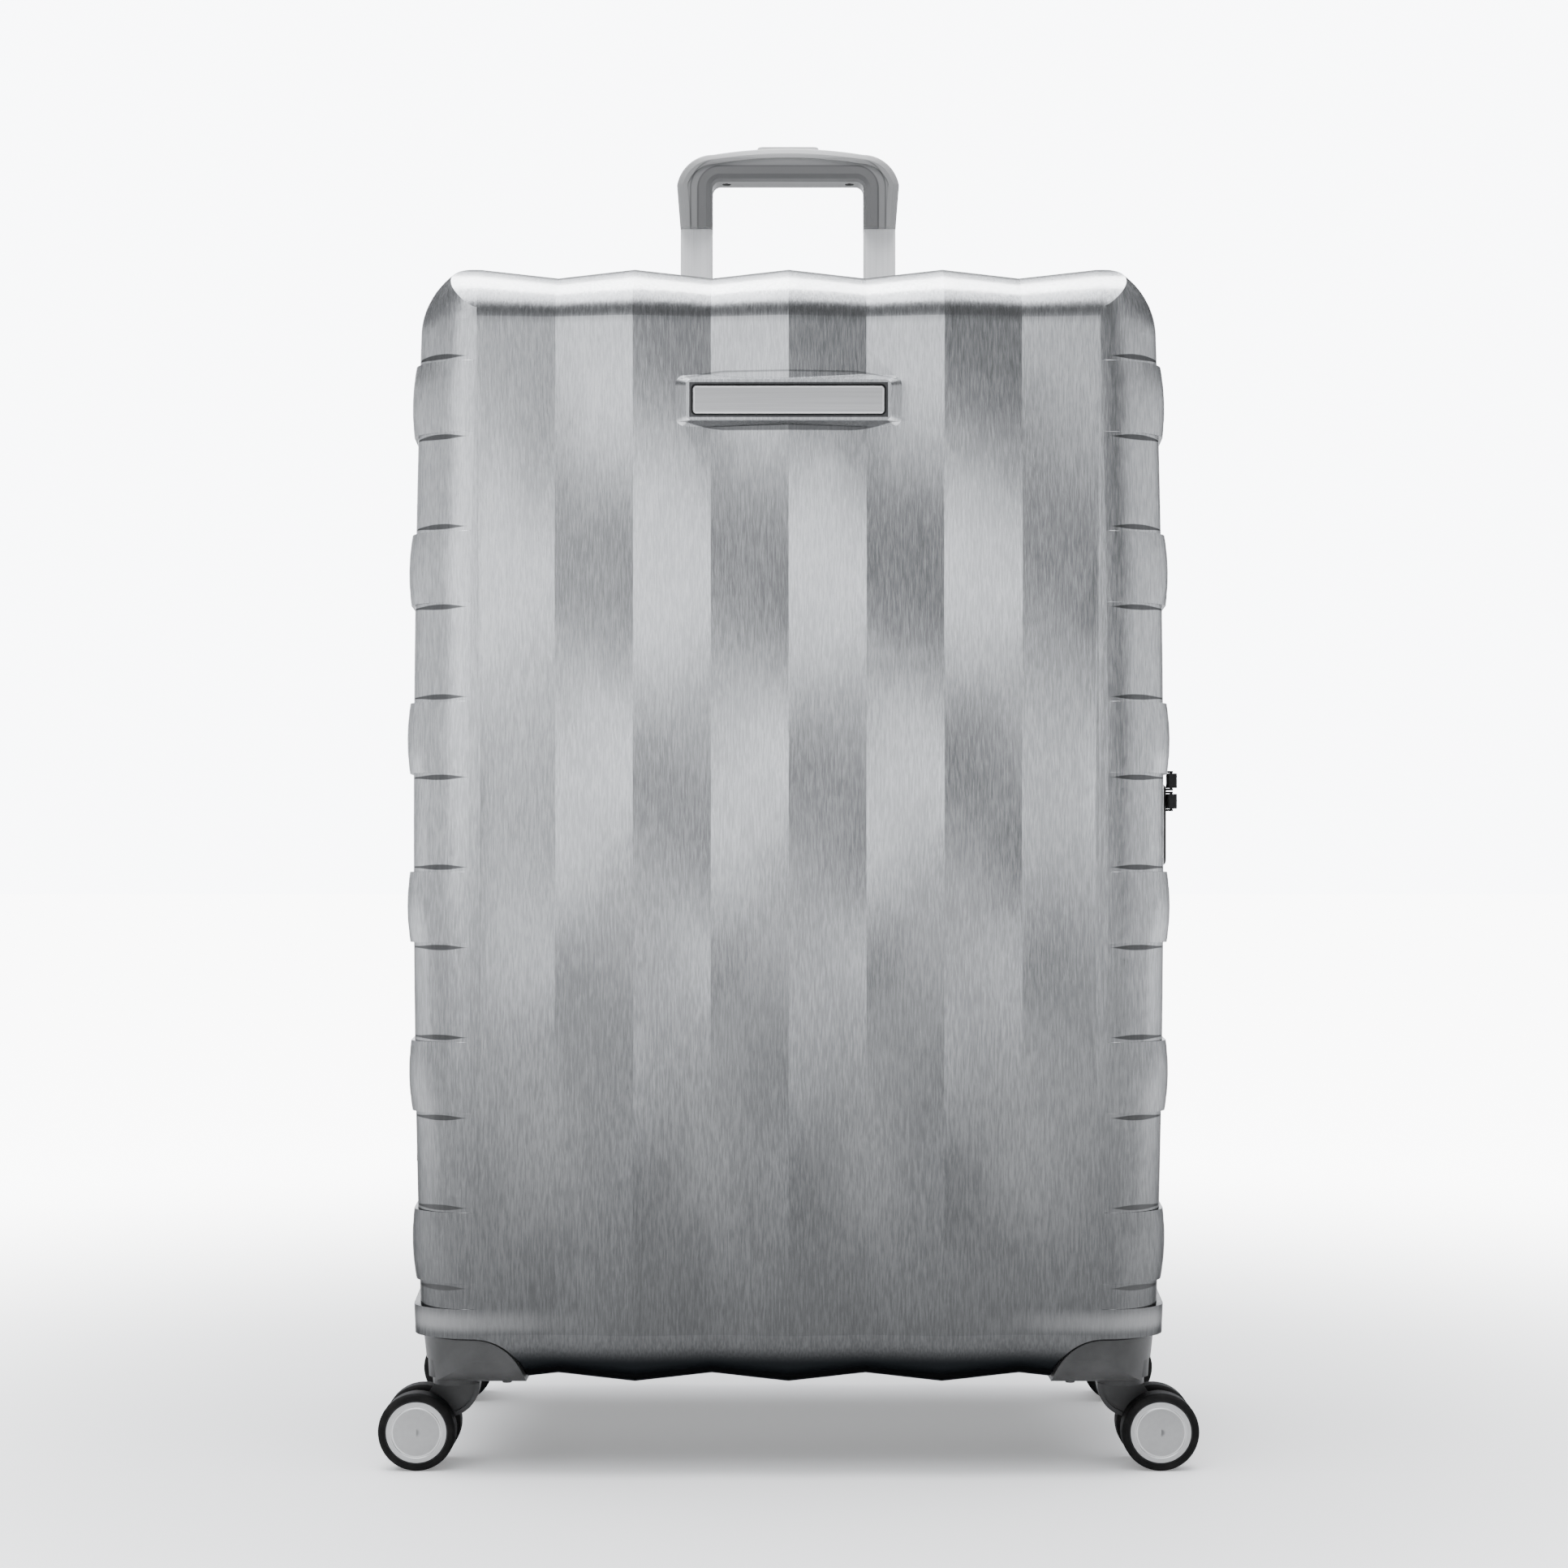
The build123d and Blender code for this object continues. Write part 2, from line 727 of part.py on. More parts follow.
strap_back = rear_floor - lining_thickness - seat_gap
with BuildPart() as cross_straps:
    with BuildSketch(Plane.XZ.offset(-strap_back)):
        for turn in (-1, 1):
            with Locations(Location((0, side_middle + 20), turn * strap_lean)):
                Rectangle(strap_width, strap_length)
    extrude(amount=strap_thickness)
save(cross_straps.part, "cross_straps")

buckle_back = strap_back - strap_thickness - seat_gap
with BuildPart() as strap_buckle:
    with BuildSketch(Plane.XZ.offset(-buckle_back)):
        with Locations((0, side_middle + 20)):
            RectangleRounded(buckle_size[0], buckle_size[1], 7)
    extrude(amount=buckle_size[2])
    front_edges = strap_buckle.faces().sort_by(Axis.Y)[0].edges()
    fillet(front_edges, radius=2.5)
save(strap_buckle.part, "strap_buckle")

# ---- nameplate ----

plate_floor = boss_face - plate_thickness
with BuildPart() as nameplate_gasket:
    with BuildSketch(Plane.XZ.offset(plate_floor)):
        with Locations((0, plate_z)):
            RectangleRounded(plate_size[0] + 2.4, plate_size[1] + 2.4, 3.4)
            RectangleRounded(plate_size[0], plate_size[1], 2.4, mode=Mode.SUBTRACT)
    extrude(amount=plate_thickness - 0.6)
save(nameplate_gasket.part, "nameplate_gasket")

with BuildPart() as nameplate:
    with BuildSketch(Plane.XZ.offset(plate_floor)):
        with Locations((0, plate_z)):
            RectangleRounded(plate_size[0] - 0.1, plate_size[1] - 0.1, 2.4)
    extrude(amount=plate_thickness)
    chamfer(nameplate.faces().sort_by(Axis.Y)[0].edges(), length=0.5)
save(nameplate.part, "nameplate")

# ---- trolley handle ----


def tube_pair(outside, bore, low, high, grooved=False):
    """Two rectangular tubes side by side; grooved tubes have a shallow channel front and back."""
    with BuildPart() as tubes:
        for side in (-1, 1):
            with BuildSketch(Plane.XY.offset(low)):
                with Locations((side * tube_x, trolley_y)):
                    RectangleRounded(*outside, tube_corner)
                    RectangleRounded(*bore, tube_corner - 1, mode=Mode.SUBTRACT)
                    if grooved:
                        with GridLocations(0, outside[1], 1, 2):
                            Rectangle(groove[0], 2 * groove[1], mode=Mode.SUBTRACT)
            extrude(amount=high - low)
    return tubes.part


save(tube_pair(outer_tube, outer_bore, outer_tube_low, outer_tube_high), "outer_tubes")
save(tube_pair(middle_tube, middle_bore, middle_tube_low, middle_tube_high), "middle_tubes")
save(
    tube_pair(middle_tube, grown(inner_tube, 0.15), middle_tube_high, middle_tube_high + collar_ring),
    "middle_tube_collars",
)
save(tube_pair(inner_tube, grown(inner_tube, -1.4), inner_tube_low, inner_tube_high, True), "inner_tubes")

with BuildPart() as trolley_bezel:
    with BuildSketch(Plane.XY.offset(bezel_seat)):
        with Locations((0, trolley_y)):
            RectangleRounded(bezel_size[0], bezel_size[1], 9)
    extrude(amount=bezel_size[2])
    chamfer(trolley_bezel.faces().sort_by(Axis.Z)[-1].edges(), length=1.2)
    for side in (-1, 1):
        socket = Location((side * tube_x, trolley_y))
        with BuildSketch(Plane.XY.offset(socket_floor - tube_seat)):
            with Locations(socket):
                RectangleRounded(*grown(socket_size, 1.8), 5)
        extrude(amount=bezel_seat - socket_floor + tube_seat)
        with BuildSketch(Plane.XY.offset(socket_floor)):
            with Locations(socket):
                RectangleRounded(*socket_size, 4)
        extrude(amount=bezel_seat - socket_floor + 10, mode=Mode.SUBTRACT)
        with BuildSketch(Plane.XY.offset(socket_floor - tube_seat)):
            with Locations(socket):
                RectangleRounded(*outer_tube, tube_corner)
        extrude(amount=tube_seat - socket_shelf, mode=Mode.SUBTRACT)
        with BuildSketch(Plane.XY.offset(socket_floor - tube_seat)):
            with Locations(socket):
                RectangleRounded(*outer_bore, tube_corner)
        extrude(amount=tube_seat + socket_shelf, mode=Mode.SUBTRACT)
save(trolley_bezel.part, "trolley_bezel")

with BuildPart() as trolley_foot:
    with BuildSketch(Plane.XY.offset(foot_low)):
        with Locations((0, trolley_y)):
            RectangleRounded(2 * tube_x + outer_tube[0] + 12, outer_tube[1] + 8, 6)
    extrude(amount=outer_tube_low - foot_low + 14)
    for side in (-1, 1):
        with BuildSketch(Plane.XY.offset(outer_tube_low)):
            with Locations((side * tube_x, trolley_y)):
                RectangleRounded(*outer_tube, tube_corner)
        extrude(amount=40, mode=Mode.SUBTRACT)
save(trolley_foot.part, "trolley_foot")


def grip_arch(depth, outer_in, inner_out):
    """Arch of the grip in one upright plane, its outer edge moved in and its inner edge moved out."""
    foot = tube_x + inner_tube[0] / 2 - outer_in
    half = grip_half_width - outer_in
    widest = grip_low + grip_widest_up
    elbow = (grip_half_width - grip_elbow[0] - 0.7 * outer_in, grip_low + grip_elbow[1] - 0.8 * outer_in)
    shoulder = (
        grip_half_width - grip_shoulder[0] - 0.2 * outer_in,
        grip_low + grip_shoulder[1] - outer_in,
    )
    left_shoulder = (-shoulder[0], shoulder[1])
    opening = tube_x - inner_tube[0] / 2 + inner_out
    opening_high = grip_inner_top + inner_out
    with BuildSketch(Plane.XZ.offset(depth - trolley_y)) as arch:
        with BuildLine():
            Line((foot, grip_low), (half, widest))
            ThreePointArc((half, widest), elbow, shoulder)
            ThreePointArc(shoulder, (0, grip_crown - outer_in), left_shoulder)
            ThreePointArc(left_shoulder, (-elbow[0], elbow[1]), (-half, widest))
            Polyline((-half, widest), (-foot, grip_low), (foot, grip_low))
        make_face()
        opening_low = grip_low - opening_run
        with Locations((0, (opening_high + opening_low) / 2)):
            RectangleRounded(
                2 * opening, opening_high - opening_low, grip_inner_round + inner_out, mode=Mode.SUBTRACT
            )
    return arch.sketch


with BuildPart() as trolley_grip:
    layers = [(depth, inset) for depth, inset in grip_rounding]
    layers = [(-depth, inset) for depth, inset in reversed(layers)] + layers
    loft([grip_arch(depth, inset, inset) for depth, inset in layers], ruled=True)
    for out in (-1, 1):
        channel = grip_arch(out * grip_half_depth, grip_groove[0], grip_groove[1])
        extrude(channel, amount=-out * grip_groove[2], mode=Mode.SUBTRACT)
    for side in (-1, 1):
        with BuildSketch(Plane.XY.offset(grip_low)):
            with Locations((side * tube_x, trolley_y)):
                RectangleRounded(*grown(inner_tube, 0.1), tube_corner)
        extrude(amount=inner_tube_high - grip_low + 0.2, mode=Mode.SUBTRACT)
        with BuildSketch(Plane.XY.offset(grip_low)):
            with Locations((side * tube_x, trolley_y)):
                Circle(rod_radius + 1)
        extrude(amount=yoke_top + 1 - grip_low, mode=Mode.SUBTRACT)
    slot_length = 2 * (tube_x + rod_radius + 1)
    with Locations((0, trolley_y, yoke_top - (yoke_height + button_travel) / 2)):
        Box(slot_length, 2 * rod_radius + 2, yoke_height + button_travel + 2, mode=Mode.SUBTRACT)
    with Locations((0, trolley_y, (yoke_top + button_floor) / 2)):
        Box(neck_width + 2, 2 * rod_radius + 2, button_floor - yoke_top + 2, mode=Mode.SUBTRACT)
    with BuildSketch(Plane.XY.offset(button_floor)):
        with Locations((0, trolley_y)):
            RectangleRounded(button_size[0] + 0.6, button_size[1] + 0.6, 5)
    extrude(amount=30, mode=Mode.SUBTRACT)
    for side in (-1, 1):
        with Locations(Location((side * screw_x, trolley_y, grip_inner_top), (180, 0, 0))):
            CounterBoreHole(radius=1.6, counter_bore_radius=3.4, counter_bore_depth=2.6, depth=4.4)
save(trolley_grip.part, "trolley_grip")

with BuildPart() as grip_screws:
    for side in (-1, 1):
        with BuildSketch(Plane.XY.offset(grip_inner_top + 0.8)):
            with Locations((side * screw_x, trolley_y)):
                Circle(3.3)
                RegularPolygon(1.3, 6, mode=Mode.SUBTRACT)
        extrude(amount=1.7)
        with BuildSketch(Plane.XY.offset(grip_inner_top + 2.0)):
            with Locations((side * screw_x, trolley_y)):
                Circle(1.55)
        extrude(amount=2.2)
save(grip_screws.part, "grip_screws")

with BuildPart() as release_button:
    with BuildSketch(Plane.XY.offset(button_floor + button_travel + 0.6)):
        with Locations((0, trolley_y)):
            RectangleRounded(*button_size, 4.7)
    extrude(amount=grip_crown + button_proud - button_floor - button_travel - 0.6)
    fillet(release_button.faces().sort_by(Axis.Z)[-1].edges(), radius=1.4)
save(release_button.part, "release_button")

with BuildPart() as release_yoke:
    with Locations((0, trolley_y, yoke_top - yoke_height / 2)):
        Box(2 * tube_x + 2 * rod_radius, 2 * rod_radius, yoke_height)
    with Locations((0, trolley_y, (yoke_top + button_floor + button_travel + 0.6) / 2)):
        Box(neck_width, 2 * rod_radius, button_floor + button_travel + 0.6 - yoke_top)
    with BuildSketch(Plane.XY.offset(yoke_top - rod_length)):
        with Locations((-tube_x, trolley_y), (tube_x, trolley_y)):
            Circle(rod_radius)
    extrude(amount=rod_length)
save(release_yoke.part, "release_yoke")

# ---- carry handles ----

top_seat = case_top + edge_fold + flare_up * (1 - top_handle_y / rounding_start)
side_seat = case_half_width + barrel + zip_flare * (1 - side_handle_y / rounding_start)
top_plane = Plane((0, top_handle_y, top_seat), x_dir=(1, 0, 0), z_dir=(0, 0, 1))
side_plane = Plane((side_seat, side_handle_y, side_handle_z), x_dir=(0, 0, 1), z_dir=(1, 0, 0))
tang_x = grip_length / 2 - anchor_size[0] / 2
tang_floor = anchor_size[2] - tang_depth


def carry_handle():
    """Flexible carry handle: a flattened arch with a tang at each end that slides in its anchor."""
    under = anchor_size[2] + seat_gap
    over = under + grip_thickness
    end = tang_x + tang_size[0] / 2 + 5
    with BuildPart() as handle:
        with BuildSketch(Plane.XZ.offset(-grip_width / 2)):
            with BuildLine():
                low = ThreePointArc((-end, under), (0, under + handle_arch), (end, under))
                high = ThreePointArc((-end, over - 3), (0, over + handle_arch), (end, over - 3))
                Line(low @ 0, high @ 0)
                Line(low @ 1, high @ 1)
            make_face()
        extrude(amount=grip_width)
        long_edges = handle.edges().filter_by(GeomType.CIRCLE)
        fillet(long_edges, radius=1.8)
        with BuildSketch(Plane.XY.offset(tang_floor + 0.4)):
            with Locations((-tang_x, 0), (tang_x, 0)):
                Rectangle(*tang_size)
        extrude(amount=under + 1 - tang_floor)
    return handle.part


def handle_anchors():
    """Two anchor blocks with a socket for the tang; they reach down past the case's wall."""
    with BuildPart() as anchors:
        with BuildSketch(Plane.XY.offset(-14)):
            with Locations((-tang_x, 0), (tang_x, 0)):
                RectangleRounded(anchor_size[0], anchor_size[1], 8)
        extrude(amount=14 + anchor_size[2])
        fillet(anchors.faces().sort_by(Axis.Z)[-1].edges(), radius=2.5)
        with BuildSketch(Plane.XY.offset(tang_floor)):
            with Locations((-tang_x, 0), (tang_x, 0)):
                Rectangle(tang_size[0] + 0.4, tang_size[1] + 0.4)
        extrude(amount=tang_depth + 5, mode=Mode.SUBTRACT)
    return anchors.part


handle_form = carry_handle()
anchor_form = handle_anchors()
seat_block = mirror(half_form(rim_gap, -seat_gap / 2), about=Plane.XZ)

with BuildPart() as top_handle:
    with Locations(top_plane.location):
        add(handle_form)
save(top_handle.part, "top_handle")

with BuildPart() as side_handle:
    with Locations(side_plane.location):
        add(handle_form)
save(side_handle.part, "side_handle")

with BuildPart() as handle_mounts:
    with Locations(top_plane.location, side_plane.location):
        add(anchor_form)
    add(seat_block, mode=Mode.SUBTRACT)
save(handle_mounts.part, "handle_anchors")

# ---- lock ----

lock_middle = (lock_near + lock_far) / 2
dial_heights = [lock_z + dial_start + index * dial_pitch for index in range(dial_count)]
latch_z = lock_z + latch_up
dial_x = lock_face + 1.2 - dial_radius
over_tape = mirror(wall_block(0, tape_width + seat_gap, -2 * seat_gap - tape_thickness), about=Plane.XZ)
over_bead = mirror(wall_block(0, seat_gap + bead_width + seat_gap, -bead_height - seat_gap), about=Plane.XZ)

with BuildPart() as lock_body:
    with BuildSketch(Plane.YZ.offset(lock_face - lock_depth)):
        with Locations((lock_middle, lock_z)):
            RectangleRounded(lock_far - lock_near, lock_length, 5)
    extrude(amount=lock_depth)
    chamfer(lock_body.faces().sort_by(Axis.X)[-1].edges(), length=1.2)
    add(seat_block, mode=Mode.SUBTRACT)
    add(over_tape, mode=Mode.SUBTRACT)
    add(over_bead, mode=Mode.SUBTRACT)
    for z in dial_heights:
        with Locations((dial_x, dial_y, z)):
            Box(2 * dial_radius + 1, 2 * dial_radius + 1, dial_width + 0.6, mode=Mode.SUBTRACT)
    with Locations((lock_face, dial_y, latch_z + latch_travel / 2)):
        Box(2 * latch_depth, latch_size + 0.4, latch_size + latch_travel + 0.4, mode=Mode.SUBTRACT)
    with BuildSketch(Plane.XY.offset(dial_heights[0] - dial_pitch / 2)):
        with Locations((dial_x, dial_y)):
            Circle(spindle_radius)
    extrude(amount=dial_count * dial_pitch)
save(lock_body.part, "lock_body")

for index, z in enumerate(dial_heights):
    with BuildPart() as dial:
        with BuildSketch(Plane.XY.offset(z - dial_width / 2)):
            with Locations((dial_x, dial_y)):
                RegularPolygon(dial_radius, 10)
                Circle(spindle_radius + running_gap, mode=Mode.SUBTRACT)
        extrude(amount=dial_width)
    save(dial.part, f"lock_dial_{index + 1}")

with BuildPart() as lock_latch:
    with Locations((lock_face + (latch_proud - latch_depth) / 2 + 0.1, dial_y, latch_z)):
        Box(latch_depth + latch_proud - 0.2, latch_size, latch_size)
    fillet(lock_latch.faces().sort_by(Axis.X)[-1].edges(), radius=0.8)
save(lock_latch.part, "lock_latch")

# ---- zip sliders ----

for name, up in zip(("upper", "lower"), slider_up):
    z = lock_z + up
    with BuildPart() as slider:
        with BuildSketch(Plane.YZ.offset(slider_x)):
            with Locations((0, z)):
                RectangleRounded(slider_width, slider_length, 2.5)
        extrude(amount=slider_plate)
        with BuildSketch(Plane.XZ.offset(-post_width / 2)):
            with BuildLine():
                Polyline(
                    (slider_x + slider_plate, z - slider_length / 2),
                    (pull_pivot + 1.4, z - slider_length / 2),
                    (pull_pivot + 1.4, z + slider_length / 2),
                    (slider_x + slider_plate, z + slider_length / 2),
                    close=True,
                )
            make_face()
            with Locations((slider_x + slider_plate + 6, z)):
                Rectangle(16, slider_length - 2 * post_width, mode=Mode.SUBTRACT)
        extrude(amount=post_width)
        with BuildSketch(Plane.XY.offset(z - slider_length / 2)):
            with Locations((pull_pivot, 0)):
                Circle(pin_radius)
        extrude(amount=slider_length)
    save(slider.part, f"{name}_slider")
    with BuildPart() as pull:
        reach = slider_length / 2 - post_width - 0.2
        with BuildSketch(Plane.XY.offset(z - reach)):
            with Locations((pull_pivot + 0.4, 0.4)):
                RectangleRounded(7.6, 7.2, 2.2)
        extrude(amount=2 * reach)
        with BuildSketch(Plane.XY.offset(z - reach + 1.4)):
            with Locations((pull_pivot, pull_length / 2)):
                Rectangle(2.2, pull_length)
        extrude(amount=2 * reach - 2.8)
        with BuildSketch(Plane.XY.offset(z - reach)):
            with Locations((pull_pivot, 0)):
                Circle(pin_radius + running_gap)
        extrude(amount=2 * reach, mode=Mode.SUBTRACT)
    save(pull.part, f"{name}_pull")
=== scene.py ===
import json
import math

import bpy
from mathutils import Matrix, Vector

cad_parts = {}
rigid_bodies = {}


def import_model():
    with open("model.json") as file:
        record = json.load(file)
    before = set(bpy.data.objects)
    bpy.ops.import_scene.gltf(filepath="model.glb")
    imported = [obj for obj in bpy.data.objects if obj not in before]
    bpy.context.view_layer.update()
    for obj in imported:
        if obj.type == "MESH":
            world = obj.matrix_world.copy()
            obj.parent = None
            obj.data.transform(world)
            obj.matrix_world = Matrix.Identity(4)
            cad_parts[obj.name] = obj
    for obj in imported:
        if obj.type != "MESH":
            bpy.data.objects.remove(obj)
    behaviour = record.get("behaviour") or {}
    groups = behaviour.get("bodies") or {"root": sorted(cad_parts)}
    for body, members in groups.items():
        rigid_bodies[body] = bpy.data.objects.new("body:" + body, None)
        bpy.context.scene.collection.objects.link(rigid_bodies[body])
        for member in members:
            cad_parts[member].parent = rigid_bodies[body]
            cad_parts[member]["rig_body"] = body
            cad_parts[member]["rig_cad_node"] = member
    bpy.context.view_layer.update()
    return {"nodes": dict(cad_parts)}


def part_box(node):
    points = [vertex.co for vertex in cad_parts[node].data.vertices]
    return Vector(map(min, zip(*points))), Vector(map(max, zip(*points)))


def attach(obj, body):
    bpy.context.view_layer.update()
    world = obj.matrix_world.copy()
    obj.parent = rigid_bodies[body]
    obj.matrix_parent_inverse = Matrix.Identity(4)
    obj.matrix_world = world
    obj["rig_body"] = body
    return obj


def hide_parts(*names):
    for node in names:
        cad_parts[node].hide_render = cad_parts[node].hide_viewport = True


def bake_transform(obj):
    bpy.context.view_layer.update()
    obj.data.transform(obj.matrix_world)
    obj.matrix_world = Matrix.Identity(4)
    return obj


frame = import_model()
NODES = frame["nodes"]
CORNERS = ("front_left", "front_right", "rear_left", "rear_right")
CASE_MIDDLE = 0.42
MM = 0.001


# ---- camera, floor and light ----

EYE = Vector((-0.003, -1.890, 0.400))
SENSOR = 36
LENS = 61.5
RISE = 0.049
FLOOR_SIZE = 60
BACKDROP = 9.5


def softbox(name, place, target, width, height, power):
    """A rectangular lamp that shines at a point."""
    bpy.ops.object.light_add(type="AREA", location=place)
    lamp = bpy.context.active_object
    lamp.name = name
    lamp.rotation_euler = (target - lamp.location).to_track_quat("-Z", "Y").to_euler()
    lamp.data.shape = "RECTANGLE"
    lamp.data.size = width
    lamp.data.size_y = height
    lamp.data.energy = power


def studio():
    """The camera, a pale floor, one softbox overhead and the surroundings."""
    bpy.ops.object.camera_add(location=EYE, rotation=(math.radians(90), 0, 0))
    camera = bpy.context.active_object
    camera.data.sensor_width = SENSOR
    camera.data.lens = LENS
    camera.data.shift_y = RISE
    bpy.context.scene.camera = camera

    clear()
    bpy.ops.mesh.primitive_plane_add(size=FLOOR_SIZE, location=(0, 0, 0))
    floor = bpy.context.active_object
    floor.name = "floor_sweep"
    floor.data.materials.append(floor_paint())

    softbox("overhead", (0, -0.2, 3.2), Vector((0, 0, CASE_MIDDLE)), 2.2, 1.6, 90)
    bpy.context.scene.world = studio_air()


def studio_air():
    """White behind and above, bright on the left, dim in front, and plain where it is seen."""
    world = bpy.data.worlds.new("studio_air")
    air = NodeSet(world, "Generated")
    x, y, z = air.axes()
    left = 0 - x
    behind = 5.5 * y.ramp(0.86, 0.95)
    front = 2.3 * left.ramp(-0.34, 0.34) - 1.4 * left.ramp(0.42, 0.75) + 0.9 * x.ramp(0.40, 0.80)
    gap = z.band((0.19, 0.30), (0.55, 0.75))
    light = 0.06 + behind + front * (1 - 0.95 * gap) + 2.5 * z.ramp(0.58, 0.84)
    seen = air.node("ShaderNodeLightPath", out="Is Camera Ray")
    light = light + seen * (BACKDROP - light)
    background = air.tree.nodes["Background"]
    background.inputs["Color"].default_value = (0.94, 0.96, 1.0, 1)
    air.tree.links.new(light.socket, background.inputs["Strength"])
    return world


# ---- finishes ----


class Shade:
    """A value in a finish, which takes Python's own arithmetic."""

    def __init__(self, owner, socket):
        self.owner = owner
        self.socket = socket

    def maths(self, operation, *values):
        places = {number: value for number, value in enumerate(values)}
        return self.owner.node("ShaderNodeMath", {"operation": operation}, places)

    def __add__(self, other):
        return self.maths("ADD", self, other)

    def __sub__(self, other):
        return self.maths("SUBTRACT", self, other)

    def __rsub__(self, other):
        return self.maths("SUBTRACT", other, self)

    def __mul__(self, other):
        return self.maths("MULTIPLY", self, other)

    def __truediv__(self, other):
        return self.maths("DIVIDE", self, other)

    def __pow__(self, other):
        return self.maths("POWER", self, other)

    def __lt__(self, other):
        return self.maths("LESS_THAN", self, other)

    def __abs__(self):
        return self.maths("ABSOLUTE", self)

    def larger(self, other):
        return self.maths("MAXIMUM", self, other)

    def fraction(self):
        return self.maths("FRACT", self)

    def sine(self):
        return self.maths("SINE", self)

    __radd__ = __add__
    __rmul__ = __mul__

    def ramp(self, low, high):
        """Smoothly from 0 at low to 1 at high."""
        places = {"Value": self, "From Min": low, "From Max": high}
        settings = {"interpolation_type": "SMOOTHSTEP"}
        return self.owner.node("ShaderNodeMapRange", settings, places)

    def band(self, rise, fall):
        """1 between two soft edges, each given by where it begins and ends."""
        return self.ramp(*rise) - self.ramp(*fall)


class NodeSet:
    """The nodes of a finish or of the surroundings, and the coordinates they follow."""

    def __init__(self, owner, coordinates):
        owner.use_nodes = True
        self.tree = owner.node_tree
        self.place = self.node("ShaderNodeTexCoord", out=coordinates)

    def node(self, kind, settings=None, places=None, out=0):
        """Adds a node, sets it up, fills its sockets and gives one output."""
        node = self.tree.nodes.new(kind)
        for name, value in (settings or {}).items():
            setattr(node, name, value)
        for name, value in (places or {}).items():
            if isinstance(value, Shade):
                self.tree.links.new(value.socket, node.inputs[name])
            else:
                node.inputs[name].default_value = value
        return Shade(self, node.outputs[out])

    def axes(self):
        """The coordinates' x, y and z, which are in metres on an object."""
        places = {"Vector": self.place}
        return [self.node("ShaderNodeSeparateXYZ", None, places, out) for out in range(3)]

    def noise(self, scale, detail=2.0):
        """Noise from 0 to 1, with so many features to the metre along x, y and z."""
        places = {"Vector": self.place, "Scale": scale}
        stretched = self.node("ShaderNodeMapping", None, places)
        places = {"Vector": stretched, "Scale": 1.0, "Detail": detail}
        return self.node("ShaderNodeTexNoise", None, places)

    def tint(self, share, low, high):
        """Colour from low to high as share goes from 0 to 1."""
        places = {0: share, 6: low, 7: high}
        return self.node("ShaderNodeMix", {"data_type": "RGBA"}, places, out=2)


class Finish(NodeSet):
    """One material: its shader, its nodes and the object's own coordinates."""

    def __init__(self, name, roughness, metallic=0.0, **constants):
        self.material = bpy.data.materials.new(name)
        super().__init__(self.material, "Object")
        self.shader = self.tree.nodes["Principled BSDF"]
        self.shader.inputs["Roughness"].default_value = roughness
        self.shader.inputs["Metallic"].default_value = metallic
        for socket, value in constants.items():
            self.shader.inputs[socket.replace("_", " ")].default_value = value

    def feed(self, name, shade):
        self.tree.links.new(shade.socket, self.shader.inputs[name])

    def bump(self, height, depth, strength=1.0):
        """Relief of the given depth in metres, for heights from 0 to 1."""
        places = {"Height": height, "Distance": depth, "Strength": strength}
        self.feed("Normal", self.node("ShaderNodeBump", None, places))


def grey(level, warmth=0.0):
    """A near-neutral colour; a positive warmth turns it away from blue."""
    return (level * (1 + warmth), level, level * (1 - warmth), 1)


def floor_paint():
    """Pale all round the case, and dimmer in front, where the case would mirror it; a painted
    glow lights it up to the camera alone.
    """
    paint = Finish("floor_paint", 0.9, Emission_Strength=1.0)
    across, depth, _ = paint.axes()
    reach = (across ** 2.0 + depth ** 2.0) ** 0.5
    paint.feed("Base Color", paint.tint(depth.ramp(-1.5, -0.34), grey(0.40), grey(0.88)))
    # Painted light: to the camera the floor glows, faintly near the case and brightly further
    # off.
    glow = paint.tint(reach.ramp(0.4, 1.8), grey(0.25), grey(7.8))
    seen = paint.node("ShaderNodeLightPath", out="Is Camera Ray")
    paint.feed("Emission Color", paint.tint(seen, grey(0.0), glow))
    return paint.material


# Where painted shade and a painted highlight go on the shell's film, in metres: heights, and
# distances from the middle.
FIRST_PILLOW = 0.1495
PILLOW_PITCH = 0.1102
PILLOW_HEIGHT = 0.052
LOWEST_NOTCH = (0.100, 0.110)
HIGHEST_NOTCH = 0.74
NOTCH_WIDTH = 2.1 * MM
NOTCH_BEGINS = (0.203, 0.224)
NOTCH_THINS = (0.228, 0.245)
UNDERSIDE = (0.074, 0.087)
LIP = ((0.093, 0.100), (0.102, 0.112))
CREASE = ((0.746, 0.755), (0.757, 0.763))
PAD_RIM = 4 * MM
PAD_SLOPE = 6.4 * MM
PAD_TAPER = (0.040, 0.081)
GASKET_RIM = 2.4 * MM
SILVER = -0.014


def pillow_notch(film):
    """Painted shade: 1 in the notches above and below the side pillows, which taper off across
    the face.
    """
    x, _, height = film.axes()
    turn = (height - FIRST_PILLOW) / PILLOW_PITCH
    away = abs((turn + 0.5).fraction() - 0.5) * PILLOW_PITCH
    side = abs(x)
    width = NOTCH_WIDTH * side.ramp(*NOTCH_BEGINS) * (1 - 0.6 * side.ramp(*NOTCH_THINS))
    notch = (width - abs(away - PILLOW_HEIGHT / 2)).ramp(0, 0.7 * MM)
    return notch * height.ramp(*LOWEST_NOTCH) * (height < HIGHEST_NOTCH)


